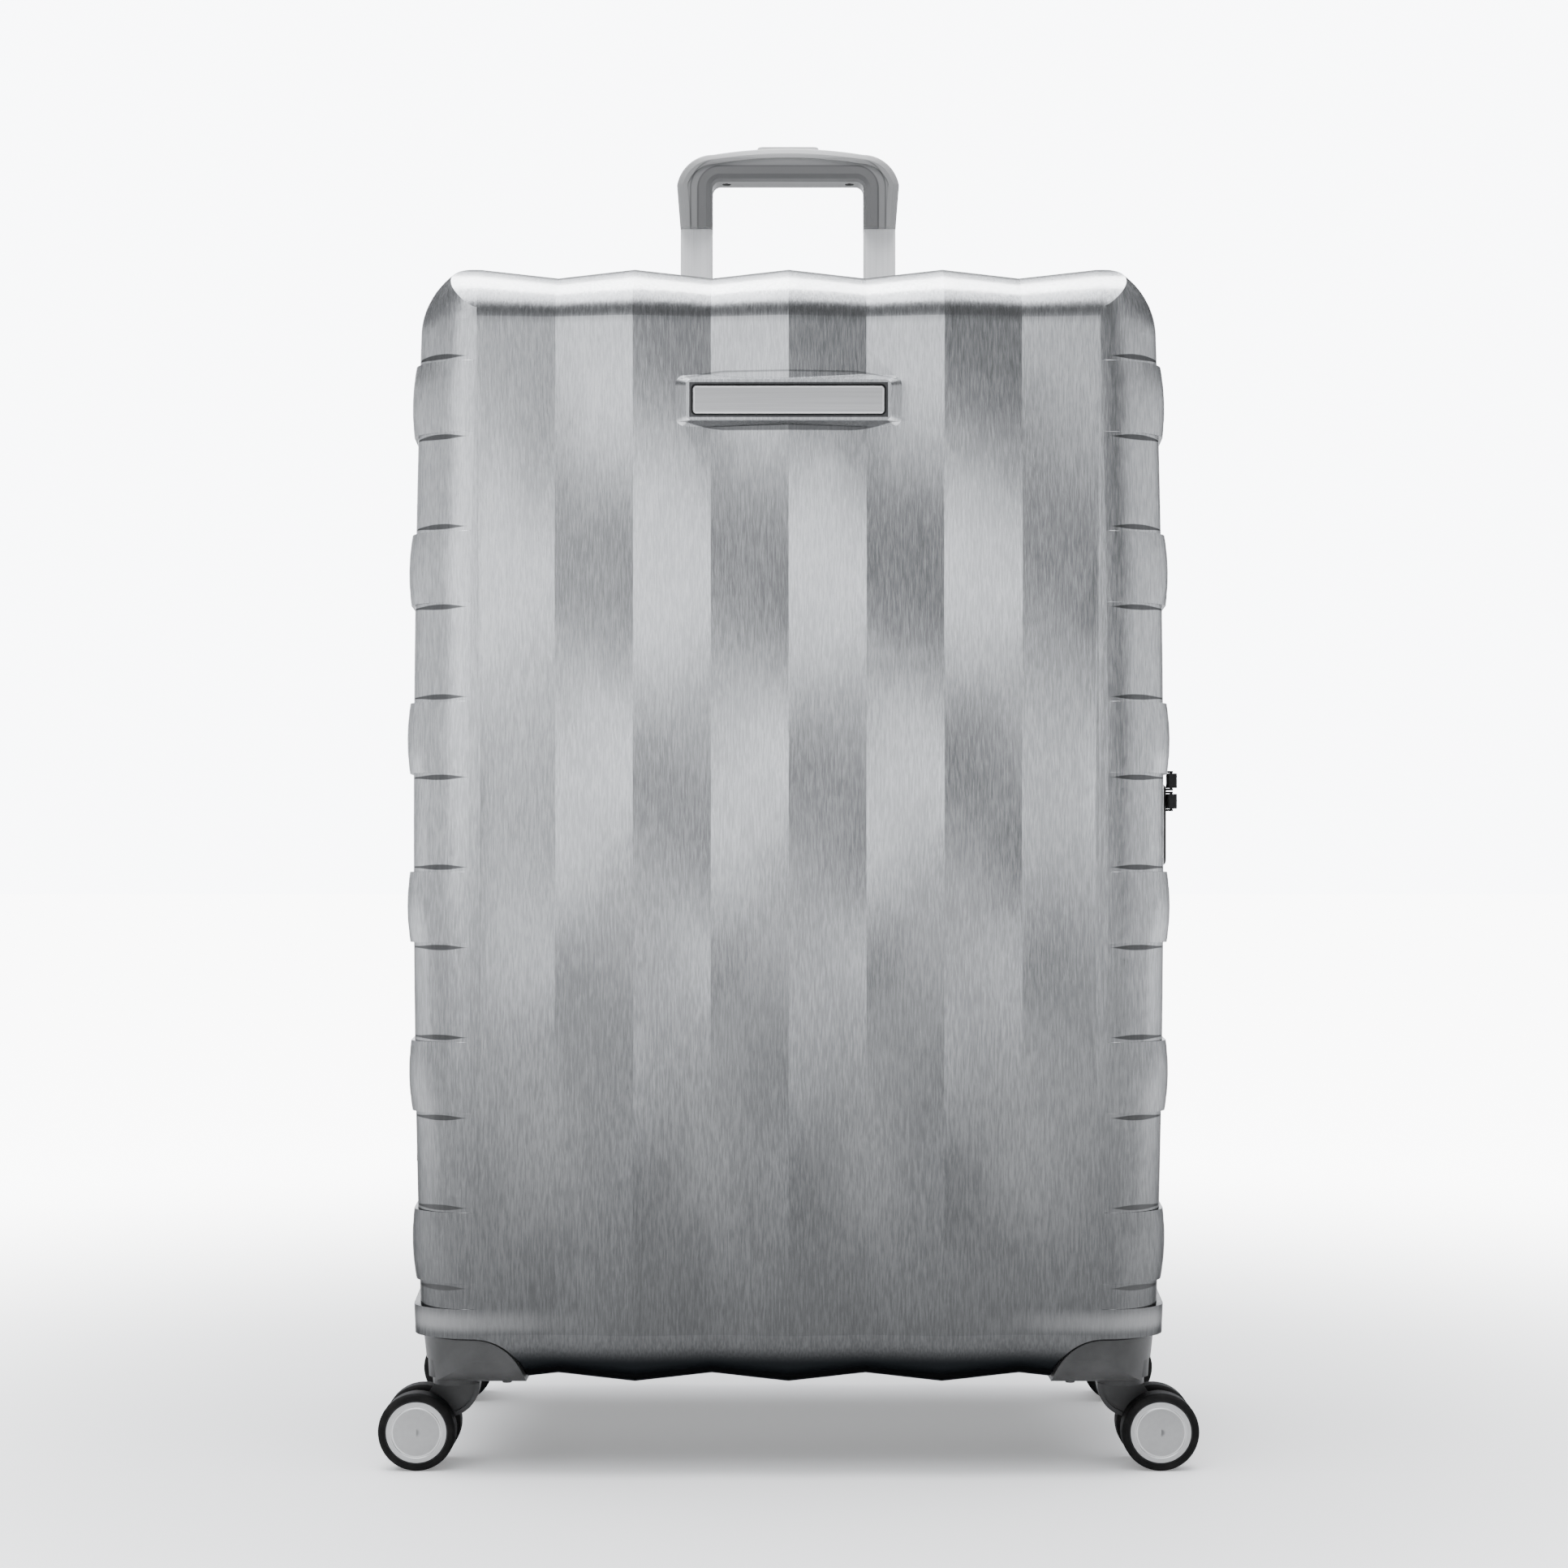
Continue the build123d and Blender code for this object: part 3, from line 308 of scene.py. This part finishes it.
def pad_shade(film):
    """Painted shade under the nameplate's pad, on its ends, along its upper edge and round the
    plate's gasket.
    """
    low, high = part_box("nameplate")
    half = (high - low) / 2
    x, depth, height = film.axes()
    side = abs(x)
    up = height - (low.z + high.z) / 2
    edge = half.z + PAD_RIM
    slope = PAD_SLOPE * (1 - side.ramp(*PAD_TAPER))
    soft = 0.8 * MM
    below = 0 - up - edge
    # Painted shadow on the slope below the pad.
    painted_shadow_below = below.ramp(0, soft) * (slope - below).ramp(0, soft) * (side < 0.080)
    # A painted dark line along the pad's upper edge.
    line = (1 * MM - abs(up - edge - slope)).ramp(0, soft) * (1 - side.ramp(0.055, 0.076))
    ends = side.band((half.x + 4 * MM, half.x + 5 * MM), (half.x + 13 * MM, half.x + 17 * MM))
    ends = ends * (abs(up) < edge)
    # A painted dark gap round the plate's gasket.
    painted_gap_shade = (side < half.x + GASKET_RIM) * (abs(up) < half.z + GASKET_RIM)
    return (0.75 * painted_shadow_below + 0.5 * line + 0.15 * ends + 0.9 * painted_gap_shade) * (depth < 0)


def shell_film():
    """Silver film over the moulded shell, brushed along its height, with painted shade and a
    painted highlight in its colour.
    """
    film = Finish("shell_film", 0.42, 0.90, Specular_Tint=grey(0.3), Specular_IOR_Level=0.3)
    strokes = film.noise((900, 900, 85), 2.0)
    hairs = film.noise((2400, 2400, 200), 1.0)
    clouds = film.noise((26, 26, 11), 2.0)
    x, _, height = film.axes()
    side = abs(x)
    tone = (strokes * 1.5 + hairs * 0.7 + clouds * 0.5 - 0.95).ramp(0, 0.9)
    # Painted shade: both tones of the film darken towards the bottom of the case.
    level = height.ramp(0.04, 0.52)
    dull = film.tint(level, grey(0.05, SILVER), grey(0.52, SILVER))
    clean = film.tint(level, grey(0.08, SILVER), grey(0.78, -0.010))
    colour = film.tint(tone, dull, clean)
    # Painted shade in the notches above and below the side pillows.
    colour = film.tint(0.85 * pillow_notch(film), colour, grey(0.05))
    # Painted highlight on the lip above the wheel housings.
    painted_lip_highlight = height.band(*LIP) * side.ramp(0.12, 0.24)
    colour = film.tint(0.22 * painted_lip_highlight, colour, grey(0.60))
    # Painted shade under the top rim's rounding.
    painted_rim_shade = height.band(*CREASE) * (1 - side.ramp(0.198, 0.214))
    colour = film.tint(0.5 * painted_rim_shade, colour, grey(0.08))
    # Painted shade on and round the nameplate's pad.
    colour = film.tint(pad_shade(film), colour, grey(0.04))
    # Painted shade: the film turns near-black navy on the underside.
    film.feed("Base Color", film.tint(height.ramp(*UNDERSIDE), grey(0.012, -0.12), colour))
    film.feed("Roughness", 0.15 + 0.12 * strokes + 0.04 * hairs)
    film.bump(strokes * 0.6 + hairs * 0.4, 0.06 * MM)
    return film.material


def moulded(name, low, high, roughness, grain=1500, depth=0.04 * MM):
    """Spark-eroded plastic: a fine pebble grain and a faint flow mottle."""
    plastic = Finish(name, roughness, Specular_IOR_Level=0.3)
    pebble = plastic.noise((grain, grain, grain), 2.0)
    mottle = plastic.noise((40, 40, 40), 3.0)
    plastic.feed("Base Color", plastic.tint(mottle.ramp(0.3, 0.7), low, high))
    plastic.feed("Roughness", roughness - 0.05 + 0.12 * pebble)
    plastic.bump(pebble, depth)
    return plastic.material


def drawn(name, low, high, roughness, along=(900, 900, 8), metallic=1.0):
    """Drawn or brushed metal: hairlines that run along the piece."""
    metal = Finish(name, roughness, metallic)
    lines = metal.noise(along, 3.0)
    haze = metal.noise((30, 30, 30), 2.0)
    metal.feed("Base Color", metal.tint(lines.ramp(0.3, 0.7), low, high))
    metal.feed("Roughness", roughness - 0.06 + 0.08 * lines + 0.06 * haze)
    metal.bump(lines, 0.02 * MM)
    return metal.material


def plate_metal():
    """Brushed plate, with a painted highlight round its bevelled edge, and a little darker
    towards its top.
    """
    low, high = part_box("nameplate")
    half = (high - low) / 2
    plate = Finish("plate_metal", 0.30, 0.6)
    x, _, height = plate.axes()
    lines = plate.noise((9, 900, 900), 3.0)
    metal = plate.tint(lines.ramp(0.3, 0.7), grey(0.60), grey(0.70))
    darkened_to_top = plate.tint(0.35 * height.ramp(low.z, high.z), metal, grey(0.40))
    # Painted highlight: the bevelled edge is painted near white.
    inner, outer = 1.3 * MM, 0.9 * MM
    ends = abs(x).ramp(half.x - inner, half.x - outer)
    up = abs(height - (low.z + half.z))
    bevel = ends.larger(up.ramp(half.z - inner, half.z - outer))
    plate.feed("Base Color", plate.tint(bevel, darkened_to_top, grey(1.0)))
    plate.feed("Roughness", 0.26 + 0.08 * lines)
    plate.bump(lines, 0.02 * MM)
    return plate.material


def tread_rubber():
    """Wheel rubber, dusty where it has rolled."""
    rubber = Finish("tread_rubber", 0.75, Specular_IOR_Level=0.12)
    grit = rubber.noise((1300, 1300, 1300), 3.0)
    dust = rubber.noise((90, 90, 90), 3.0)
    rubber.feed("Base Color", rubber.tint(dust.ramp(0.35, 0.8), grey(0.004), grey(0.011, 0.05)))
    rubber.feed("Roughness", 0.62 + 0.2 * grit)
    rubber.bump(grit, 0.05 * MM)
    return rubber.material


def woven(name, low, high, pitch):
    """Plain weave: crossing threads of one pitch, with uneven yarn."""
    cloth = Finish(name, 0.85, Sheen_Weight=0.25, Sheen_Roughness=0.5)
    across, deep, up = [abs((part * (math.pi / pitch)).sine()) for part in cloth.axes()]
    threads = (across + deep * 0.5) * 0.5 + up * 0.5
    yarn = cloth.noise((420, 420, 420), 3.0)
    wear = cloth.noise((16, 16, 16), 3.0)
    share = (threads * 0.6 + yarn * 0.5 + wear * 0.3 - 0.2).ramp(0.0, 1.0)
    cloth.feed("Base Color", cloth.tint(share, low, high))
    cloth.feed("Roughness", 0.77 + 0.15 * yarn)
    cloth.bump(threads * 0.7 + yarn * 0.3, 0.12 * MM)
    return cloth.material


# The disc's raised ring, by its distance from the axle.
RING_INSIDE = (15.0 * MM, 15.8 * MM)
RING_OUTSIDE = (16.6 * MM, 17.4 * MM)


def wheel_silver(corner):
    """Satin silver cover with a turned ring, lighter at the rim, and a painted highlight along
    the ring.
    """
    low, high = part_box(f"{corner}_tyres")
    hub = (low + high) / 2
    silver = Finish(f"{corner}_wheel_silver", 0.36, 0.85)
    x, _, z = silver.axes()
    reach = ((x - hub.x) ** 2.0 + (z - hub.z) ** 2.0) ** 0.5
    turned = silver.noise((300, 300, 300), 2.0)
    share = 0.5 * turned + 0.5 * reach.ramp(*RING_OUTSIDE)
    plain = silver.tint(share, grey(0.30), grey(0.44))
    # Painted highlight along the disc's raised ring.
    painted_ring_highlight = reach.band(RING_INSIDE, RING_OUTSIDE)
    silver.feed("Base Color", silver.tint(painted_ring_highlight, plain, grey(0.66)))
    silver.feed("Roughness", 0.32 + 0.12 * turned)
    silver.bump(turned, 0.02 * MM)
    return silver.material


# The opening under the grip, and how far outside it the grip's two steps run.
GRIP_HALF_OPENING = 56.4 * MM
GRIP_OPENING_TOP = 0.9068
GRIP_CORNER = 6 * MM
GRIP_STEPS = (16.2 * MM, 10.8 * MM)


def grip_plastic():
    """Soft-touch grip, with a painted highlight along its top edge, and painted shade inside the
    arch and along its two steps.
    """
    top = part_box("trolley_grip")[1].z
    plastic = Finish("grip_plastic", 0.5, Specular_IOR_Level=0.3)
    pebble = plastic.noise((1600, 1600, 1600), 2.0)
    mottle = plastic.noise((50, 50, 50), 2.0)
    x, _, height = plastic.axes()
    across = (abs(x) - (GRIP_HALF_OPENING - GRIP_CORNER)).larger(0)
    up = (height - (GRIP_OPENING_TOP - GRIP_CORNER)).larger(0)
    reach = (across ** 2.0 + up ** 2.0) ** 0.5 - GRIP_CORNER
    outer, inner = [reach.ramp(step, step + 0.5 * MM) for step in GRIP_STEPS]
    # Painted shade: dark lines along the grip's two steps.
    lines = [(0.9 * MM - abs(reach - step)).ramp(0, 0.6 * MM) for step in GRIP_STEPS]
    body = plastic.tint(mottle, grey(0.27), grey(0.31))
    # Painted shade: darker the nearer the band lies to the arch.
    painted_band_shade = plastic.tint(0.35 * outer + 0.65 * inner, grey(0.15), body)
    painted_step_shade = plastic.tint(0.7 * (lines[0] + lines[1]), painted_band_shade, grey(0.11))
    # Painted highlight along the grip's top edge.
    painted_top_highlight = height.ramp(top - 14 * MM, top - 2 * MM)
    plastic.feed("Base Color", plastic.tint(painted_top_highlight, painted_step_shade, grey(0.56)))
    plastic.feed("Roughness", 0.44 + 0.14 * pebble)
    plastic.bump(pebble, 0.03 * MM)
    return plastic.material


# ---- modelling helpers ----

SEWN = 0.01 * MM


def clear():
    bpy.ops.object.select_all(action="DESELECT")


def pick(piece):
    """Makes a piece the only one selected, and the active one."""
    clear()
    piece.select_set(True)
    bpy.context.view_layer.objects.active = piece


def edit(piece, mode="VERT"):
    """Opens a piece's mesh for editing by points, edges or faces."""
    pick(piece)
    bpy.ops.object.mode_set(mode="EDIT")
    bpy.ops.mesh.select_mode(type=mode)


def leave():
    bpy.ops.object.mode_set(mode="OBJECT")


def modify(piece, kind, **settings):
    """Adds a modifier and applies it."""
    pick(piece)
    bpy.ops.object.modifier_add(type=kind)
    modifier = piece.modifiers[-1]
    for name, value in settings.items():
        setattr(modifier, name, value)
    bpy.ops.object.modifier_apply(modifier=modifier.name)


def settle(piece):
    """Puts a piece's place into its mesh."""
    pick(piece)
    bpy.ops.object.transform_apply(location=True, rotation=True, scale=True)


def cube(name, size, place):
    """A block to start a small piece from."""
    clear()
    bpy.ops.mesh.primitive_cube_add(size=1, location=place)
    piece = bpy.context.active_object
    piece.name = name
    piece.scale = size
    settle(piece)
    return piece


def softened(piece, radius, segments, angle=30):
    """Rounds the edges that are sharper than an angle."""
    modify(piece, "BEVEL", width=radius, segments=segments, limit_method="ANGLE",
           angle_limit=math.radians(angle))
    pick(piece)
    bpy.ops.object.shade_smooth_by_angle(angle=math.radians(40))
    return piece


def dress(piece, body, slot, material, *replaced):
    """Gives a piece its finish, its body and the nodes it stands for; the slot argument is not
    used.
    """
    settle(piece)
    piece.data.materials.clear()
    piece.data.materials.append(material)
    if body:
        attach(piece, body)
    if replaced:
        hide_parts(*replaced)


def joined(name, pieces):
    """Makes one piece of several."""
    clear()
    for piece in pieces:
        piece.select_set(True)
    bpy.context.view_layer.objects.active = pieces[0]
    bpy.ops.object.join()
    pieces[0].name = name
    return pieces[0]


def merged_copy(node, name):
    """A copy of a CAD node with its loose triangles sewn together."""
    pick(NODES[node])
    bpy.ops.object.duplicate()
    piece = bpy.context.active_object
    piece.name = name
    piece.parent = None
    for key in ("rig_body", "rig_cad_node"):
        if key in piece:
            del piece[key]
    edit(piece)
    bpy.ops.mesh.select_all(action="SELECT")
    bpy.ops.mesh.remove_doubles(threshold=SEWN)
    leave()
    pick(piece)
    bpy.ops.mesh.customdata_custom_splitnormals_clear()
    return piece


def sliced(piece, step, axes=(0, 2)):
    """Cuts a piece across by even planes, so that it can be creased."""
    low = [min(vertex.co[axis] for vertex in piece.data.vertices) for axis in range(3)]
    high = [max(vertex.co[axis] for vertex in piece.data.vertices) for axis in range(3)]
    edit(piece)
    for axis in axes:
        count = int((high[axis] - low[axis]) / step)
        for number in range(1, count + 1):
            place = [0.0, 0.0, 0.0]
            place[axis] = low[axis] + number * (high[axis] - low[axis]) / (count + 1)
            normal = [0.0, 0.0, 0.0]
            normal[axis] = 1.0
            bpy.ops.mesh.select_all(action="SELECT")
            bpy.ops.mesh.bisect(plane_co=place, plane_no=normal)
    leave()


def rippled(piece, size, depth):
    """Moves a surface in and out by soft clouds of one size."""
    cloud = bpy.data.textures.new(f"{piece.name}_clouds", "CLOUDS")
    cloud.noise_scale = size
    cloud.noise_depth = 2
    modify(piece, "DISPLACE", texture=cloud, strength=depth, mid_level=0.5,
           texture_coords="LOCAL")


# ---- zip ----

TOOTH = (1.5 * MM, 1.5 * MM, 4.9 * MM)
TOOTH_PITCH = 2.6 * MM
TOOTH_LIFT = 0.3 * MM
TOOTH_ROW = 2 * MM
STITCH = (2.3 * MM, 0.35 * MM, 0.7 * MM)
STITCH_PITCH = 3.4 * MM
STITCH_LIFT = -0.05 * MM
STITCH_ROWS = (6 * MM, 11.5 * MM)
RING_POINTS = 900


def ring_line(node, depth):
    """The outer line of a node in the plane y = depth, as a closed flat curve in x and z."""
    low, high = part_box(node)
    centre = Vector((0, depth, (low.z + high.z) / 2))
    points = []
    for number in range(RING_POINTS):
        angle = 2 * math.pi * number / RING_POINTS
        out = Vector((math.cos(angle), 0, math.sin(angle)))
        hit, point, _, _ = NODES[node].ray_cast(centre + 2 * out, -out)
        if hit:
            points.append((point.x, point.z, 0))
    curve = bpy.data.curves.new("ring_line", "CURVE")
    curve.dimensions = "3D"
    curve.twist_mode = "Z_UP"
    spline = curve.splines.new("POLY")
    spline.points.add(len(points) - 1)
    for place, point in zip(spline.points, points):
        place.co = (*point, 1)
    spline.use_cyclic_u = True
    line = bpy.data.objects.new("ring_line", curve)
    bpy.context.scene.collection.objects.link(line)
    length = sum(math.dist(a, b) for a, b in zip(points, points[1:] + points[:1]))
    return line, length


def strung(piece, line, length, pitch, depth):
    """Repeats a piece along a closed line and stands the ring up at y = depth."""
    count = round(length / pitch)
    modify(piece, "ARRAY", count=count, use_relative_offset=False, use_constant_offset=True,
           constant_offset_displace=(length / count, 0, 0))
    modify(piece, "CURVE", object=line, deform_axis="POS_X")
    bpy.data.objects.remove(line)
    piece.rotation_euler = (math.radians(90), 0, 0)
    piece.location = (0, depth, 0)
    settle(piece)
    return piece


def zip_row(half, side, shift):
    """One row of coil teeth on the bead at the edge of a tape."""
    middle = side * TOOTH_ROW
    line, length = ring_line(f"{half}_zip_tape", middle)
    tooth = cube(f"{half}_zip_teeth", TOOTH, (shift, TOOTH_LIFT, 0))
    softened(tooth, 0.5 * MM, 1)
    return strung(tooth, line, length, TOOTH_PITCH, middle)


def tape_stitches(half, side, offset):
    """A row of stitches that holds a tape to its shell."""
    middle = side * offset
    line, length = ring_line(f"{half}_zip_tape", middle)
    stitch = cube(f"{half}_tape_stitches", STITCH, (0, STITCH_LIFT, 0))
    softened(stitch, 0.15 * MM, 1)
    return strung(stitch, line, length, STITCH_PITCH, middle)


def make_zip():
    """Two tapes, each with its row of teeth; the rows mesh where the halves meet."""
    tape_cloth = woven("zip_tape_cloth", grey(0.016), grey(0.045), 0.8 * MM)
    nylon = moulded("zip_nylon", grey(0.020), grey(0.034), 0.35, 2500, 0.02 * MM)
    thread = moulded("zip_thread", grey(0.05), grey(0.09), 0.6, 3000, 0.03 * MM)
    for half, side, shift in (("front", -1, 0), ("rear", 1, TOOTH_PITCH / 2)):
        body = f"{half}_half"
        dress(zip_row(half, side, shift), body, "zip_tape", nylon)
        for offset in STITCH_ROWS:
            dress(tape_stitches(half, side, offset), body, "zip_tape", thread)
        tape = merged_copy(f"{half}_zip_tape", f"{half}_zip_cloth")
        softened(tape, 0.25 * MM, 1, 50)
        dress(tape, body, "zip_tape", tape_cloth, f"{half}_zip_tape")


STRIP_WIDTH = 26 * MM
STRIP_HEIGHT = 0.46
STRIP_THICKNESS = 0.7 * MM


def make_hinge_strip():
    """Cloth that joins the halves along the left side."""
    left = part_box("front_zip_tape")[0].x
    clear()
    bpy.ops.mesh.primitive_grid_add(x_subdivisions=14, y_subdivisions=80, size=1)
    strip = bpy.context.active_object
    strip.name = "hinge_strip"
    strip.scale = (STRIP_WIDTH, STRIP_HEIGHT, 1)
    strip.rotation_euler = (math.radians(90), 0, math.radians(90))
    strip.location = (left - 0.5 * MM, 0, CASE_MIDDLE)
    settle(strip)
    rippled(strip, 50 * MM, 0.6 * MM)
    modify(strip, "SOLIDIFY", thickness=STRIP_THICKNESS, offset=0.0)
    pick(strip)
    bpy.ops.object.shade_smooth_by_angle(angle=math.radians(50))
    dress(strip, None, "zip_tape", woven("hinge_cloth", grey(0.018), grey(0.05), 1.1 * MM))
    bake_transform(strip)


# ---- lining ----

LINING_STEP = 14 * MM
LINING_SLIVER = 0.6 * MM
DIVIDER_STEP = 16 * MM


def inner_skin(piece, side):
    """Keeps only the faces of a lining that look into the case."""
    centre = Vector((0, side * 6 * MM, CASE_MIDDLE))
    edit(piece, "FACE")
    bpy.ops.mesh.select_all(action="DESELECT")
    leave()
    for face in piece.data.polygons:
        face.select = face.normal.dot(centre - face.center) <= 0
    edit(piece, "FACE")
    bpy.ops.mesh.delete(type="FACE")
    bpy.ops.mesh.select_all(action="SELECT")
    bpy.ops.mesh.normals_make_consistent(inside=True)
    leave()


def make_lining():
    """The cloth inside each half, sewn to its shell along the rim and slightly rumpled."""
    cloth = woven("lining_cloth", grey(0.10, 0.01), grey(0.19, 0.01), 1 * MM)
    for half, side in (("front", -1), ("rear", 1)):
        piece = merged_copy(f"{half}_lining", f"{half}_lining_cloth")
        inner_skin(piece, side)
        sliced(piece, LINING_STEP, (0, 1, 2))
        edit(piece)
        bpy.ops.mesh.select_all(action="SELECT")
        bpy.ops.mesh.remove_doubles(threshold=LINING_SLIVER)
        leave()
        rippled(piece, 70 * MM, 2.2 * MM)
        modify(piece, "SOLIDIFY", thickness=0.5 * MM, offset=0.0)
        pick(piece)
        bpy.ops.object.shade_smooth_by_angle(angle=math.radians(60))
        dress(piece, f"{half}_half", "lining", cloth, f"{half}_lining")


def make_divider():
    """The panel that is zipped across the front half."""
    cloth = woven("divider_cloth", grey(0.085, 0.01), grey(0.16, 0.01), 1 * MM)
    panel = merged_copy("divider_panel", "divider_cloth")
    sliced(panel, DIVIDER_STEP)
    dress(panel, "front_half", "divider", cloth, "divider_panel")


def make_straps():
    """The crossed webbing that holds clothes down in the rear half."""
    webbing = woven("strap_webbing", grey(0.010), grey(0.034), 1.4 * MM)
    straps = merged_copy("cross_straps", "strap_webbing")
    softened(straps, 0.3 * MM, 1, 50)
    dress(straps, "rear_half", "strap", webbing, "cross_straps")


# ---- small fittings ----

SCREW_RADIUS = 3.2 * MM
SCREW_HEIGHT = 1.6 * MM
SCREW_RECESS = 1.2 * MM
SCREW_SUNK = 0.6 * MM
SCREW_INSET = 62 * MM
SCREW_DEPTHS = (72 * MM, 136 * MM)
DIALS = (1, 2, 3)
DIGITS = 10
DIGIT_SIZE = 3.2 * MM
DIGIT_RAISED = 0.08 * MM


def screw(place):
    """A domed screw head with a cross recess, its head facing down."""
    clear()
    bpy.ops.mesh.primitive_cylinder_add(vertices=28, radius=SCREW_RADIUS, depth=SCREW_HEIGHT)
    head = bpy.context.active_object
    softened(head, 0.6 * MM, 3)
    slot = (SCREW_RADIUS * 1.25, SCREW_RADIUS * 0.28, SCREW_RECESS)
    for turn in (0, 90):
        cutter = cube("cutter", slot, (0, 0, -SCREW_HEIGHT / 2))
        cutter.rotation_euler = (0, 0, math.radians(turn))
        settle(cutter)
        modify(head, "BOOLEAN", operation="DIFFERENCE", object=cutter, solver="EXACT")
        bpy.data.objects.remove(cutter)
    head.location = place
    settle(head)
    return head


def make_screws():
    """Two screws under each wheel housing."""
    steel = drawn("screw_steel", grey(0.05), grey(0.10), 0.4, (500, 500, 500))
    for corner in CORNERS:
        low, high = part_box(f"{corner}_housing")
        side = math.copysign(1, low.x + high.x)
        half = math.copysign(1, low.y + high.y)
        across = side * (max(abs(low.x), abs(high.x)) - SCREW_INSET)
        body = "front_half" if half < 0 else "rear_half"
        heads = []
        for depth in SCREW_DEPTHS:
            below = Vector((across, half * depth, 0))
            hit, point, _, _ = NODES[f"{corner}_housing"].ray_cast(below, Vector((0, 0, 1)))
            if hit:
                heads.append(screw(point - Vector((0, 0, SCREW_SUNK))))
        if heads:
            dress(joined(f"{corner}_screws", heads), body, "steel", steel)


def make_digits():
    """Plain numbers round each dial."""
    ink = moulded("digit_ink", grey(0.55), grey(0.70), 0.5, 3000, 0.01 * MM)
    for number in DIALS:
        low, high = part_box(f"lock_dial_{number}")
        middle = (low + high) / 2
        radius = (high.x - low.x) / 2
        digits = []
        for value in range(DIGITS):
            clear()
            bpy.ops.object.text_add()
            digit = bpy.context.active_object
            digit.data.body = str(value)
            digit.data.size = DIGIT_SIZE
            digit.data.extrude = DIGIT_RAISED
            digit.data.resolution_u = 2
            digit.data.align_x = "CENTER"
            digit.data.align_y = "CENTER"
            bpy.ops.object.convert(target="MESH")
            angle = 2 * math.pi * value / DIGITS
            place = Vector((radius * math.cos(angle), radius * math.sin(angle), 0))
            upright = Matrix.Rotation(math.radians(90), 4, "X")
            facing = Matrix.Rotation(angle + math.radians(90), 4, "Z")
            digit.matrix_world = Matrix.Translation(middle + place) @ facing @ upright
            settle(digit)
            digits.append(digit)
        piece = joined(f"dial_{number}_digits", digits)
        dress(piece, f"dial_{number}", "dial", ink)


# ---- finishes for the CAD nodes ----


def paint_nodes():
    """Gives every CAD node that stays in view its finish."""
    shell = shell_film()
    housing = moulded("housing_plastic", grey(0.030), grey(0.048), 0.45, 1400, 0.05 * MM)
    fork = moulded("fork_plastic", grey(0.026), grey(0.040), 0.42)
    black = moulded("black_plastic", grey(0.004), grey(0.009), 0.40)
    steel = drawn("plain_steel", grey(0.42), grey(0.58), 0.3, (500, 500, 500))
    tube = drawn("anodised_tube", grey(0.88), grey(0.97), 0.40, metallic=0.1)
    outer = drawn("mill_tube", grey(0.45), grey(0.60), 0.38)
    gasket = moulded("gasket_rubber", grey(0.008), grey(0.014), 0.6)
    soft = moulded("handle_rubber", grey(0.035), grey(0.055), 0.55, 1700)
    button = moulded("button_silver", grey(0.70), grey(0.80), 0.28, 2500, 0.01 * MM)
    enamel = moulded("black_enamel", grey(0.008), grey(0.016), 0.28, 2200, 0.01 * MM)
    finishes = {
        "front_shell": shell,
        "rear_shell": shell,
        "nameplate": plate_metal(),
        "nameplate_gasket": gasket,
        "outer_tubes": outer,
        "middle_tubes": tube,
        "inner_tubes": tube,
        "middle_tube_collars": black,
        "trolley_bezel": housing,
        "trolley_foot": housing,
        "trolley_grip": grip_plastic(),
        "grip_screws": enamel,
        "release_button": button,
        "release_yoke": steel,
        "top_handle": soft,
        "side_handle": soft,
        "handle_anchors": housing,
        "strap_buckle": black,
        "lock_body": fork,
        "lock_dial_1": black,
        "lock_dial_2": black,
        "lock_dial_3": black,
        "lock_latch": steel,
        "upper_slider": enamel,
        "lower_slider": enamel,
        "upper_pull": enamel,
        "lower_pull": enamel,
    }
    tread = tread_rubber()
    for corner in CORNERS:
        finishes[f"{corner}_housing"] = housing
        finishes[f"{corner}_fork"] = fork
        finishes[f"{corner}_axle"] = steel
        finishes[f"{corner}_tyres"] = tread
        finishes[f"{corner}_wheel_cores"] = black
        finishes[f"{corner}_wheel_discs"] = wheel_silver(corner)
    for node, material in finishes.items():
        slots = NODES[node].data.materials
        slots.clear()
        slots.append(material)


studio()
paint_nodes()
make_zip()
make_hinge_strip()
make_lining()
make_divider()
make_straps()
make_screws()
make_digits()
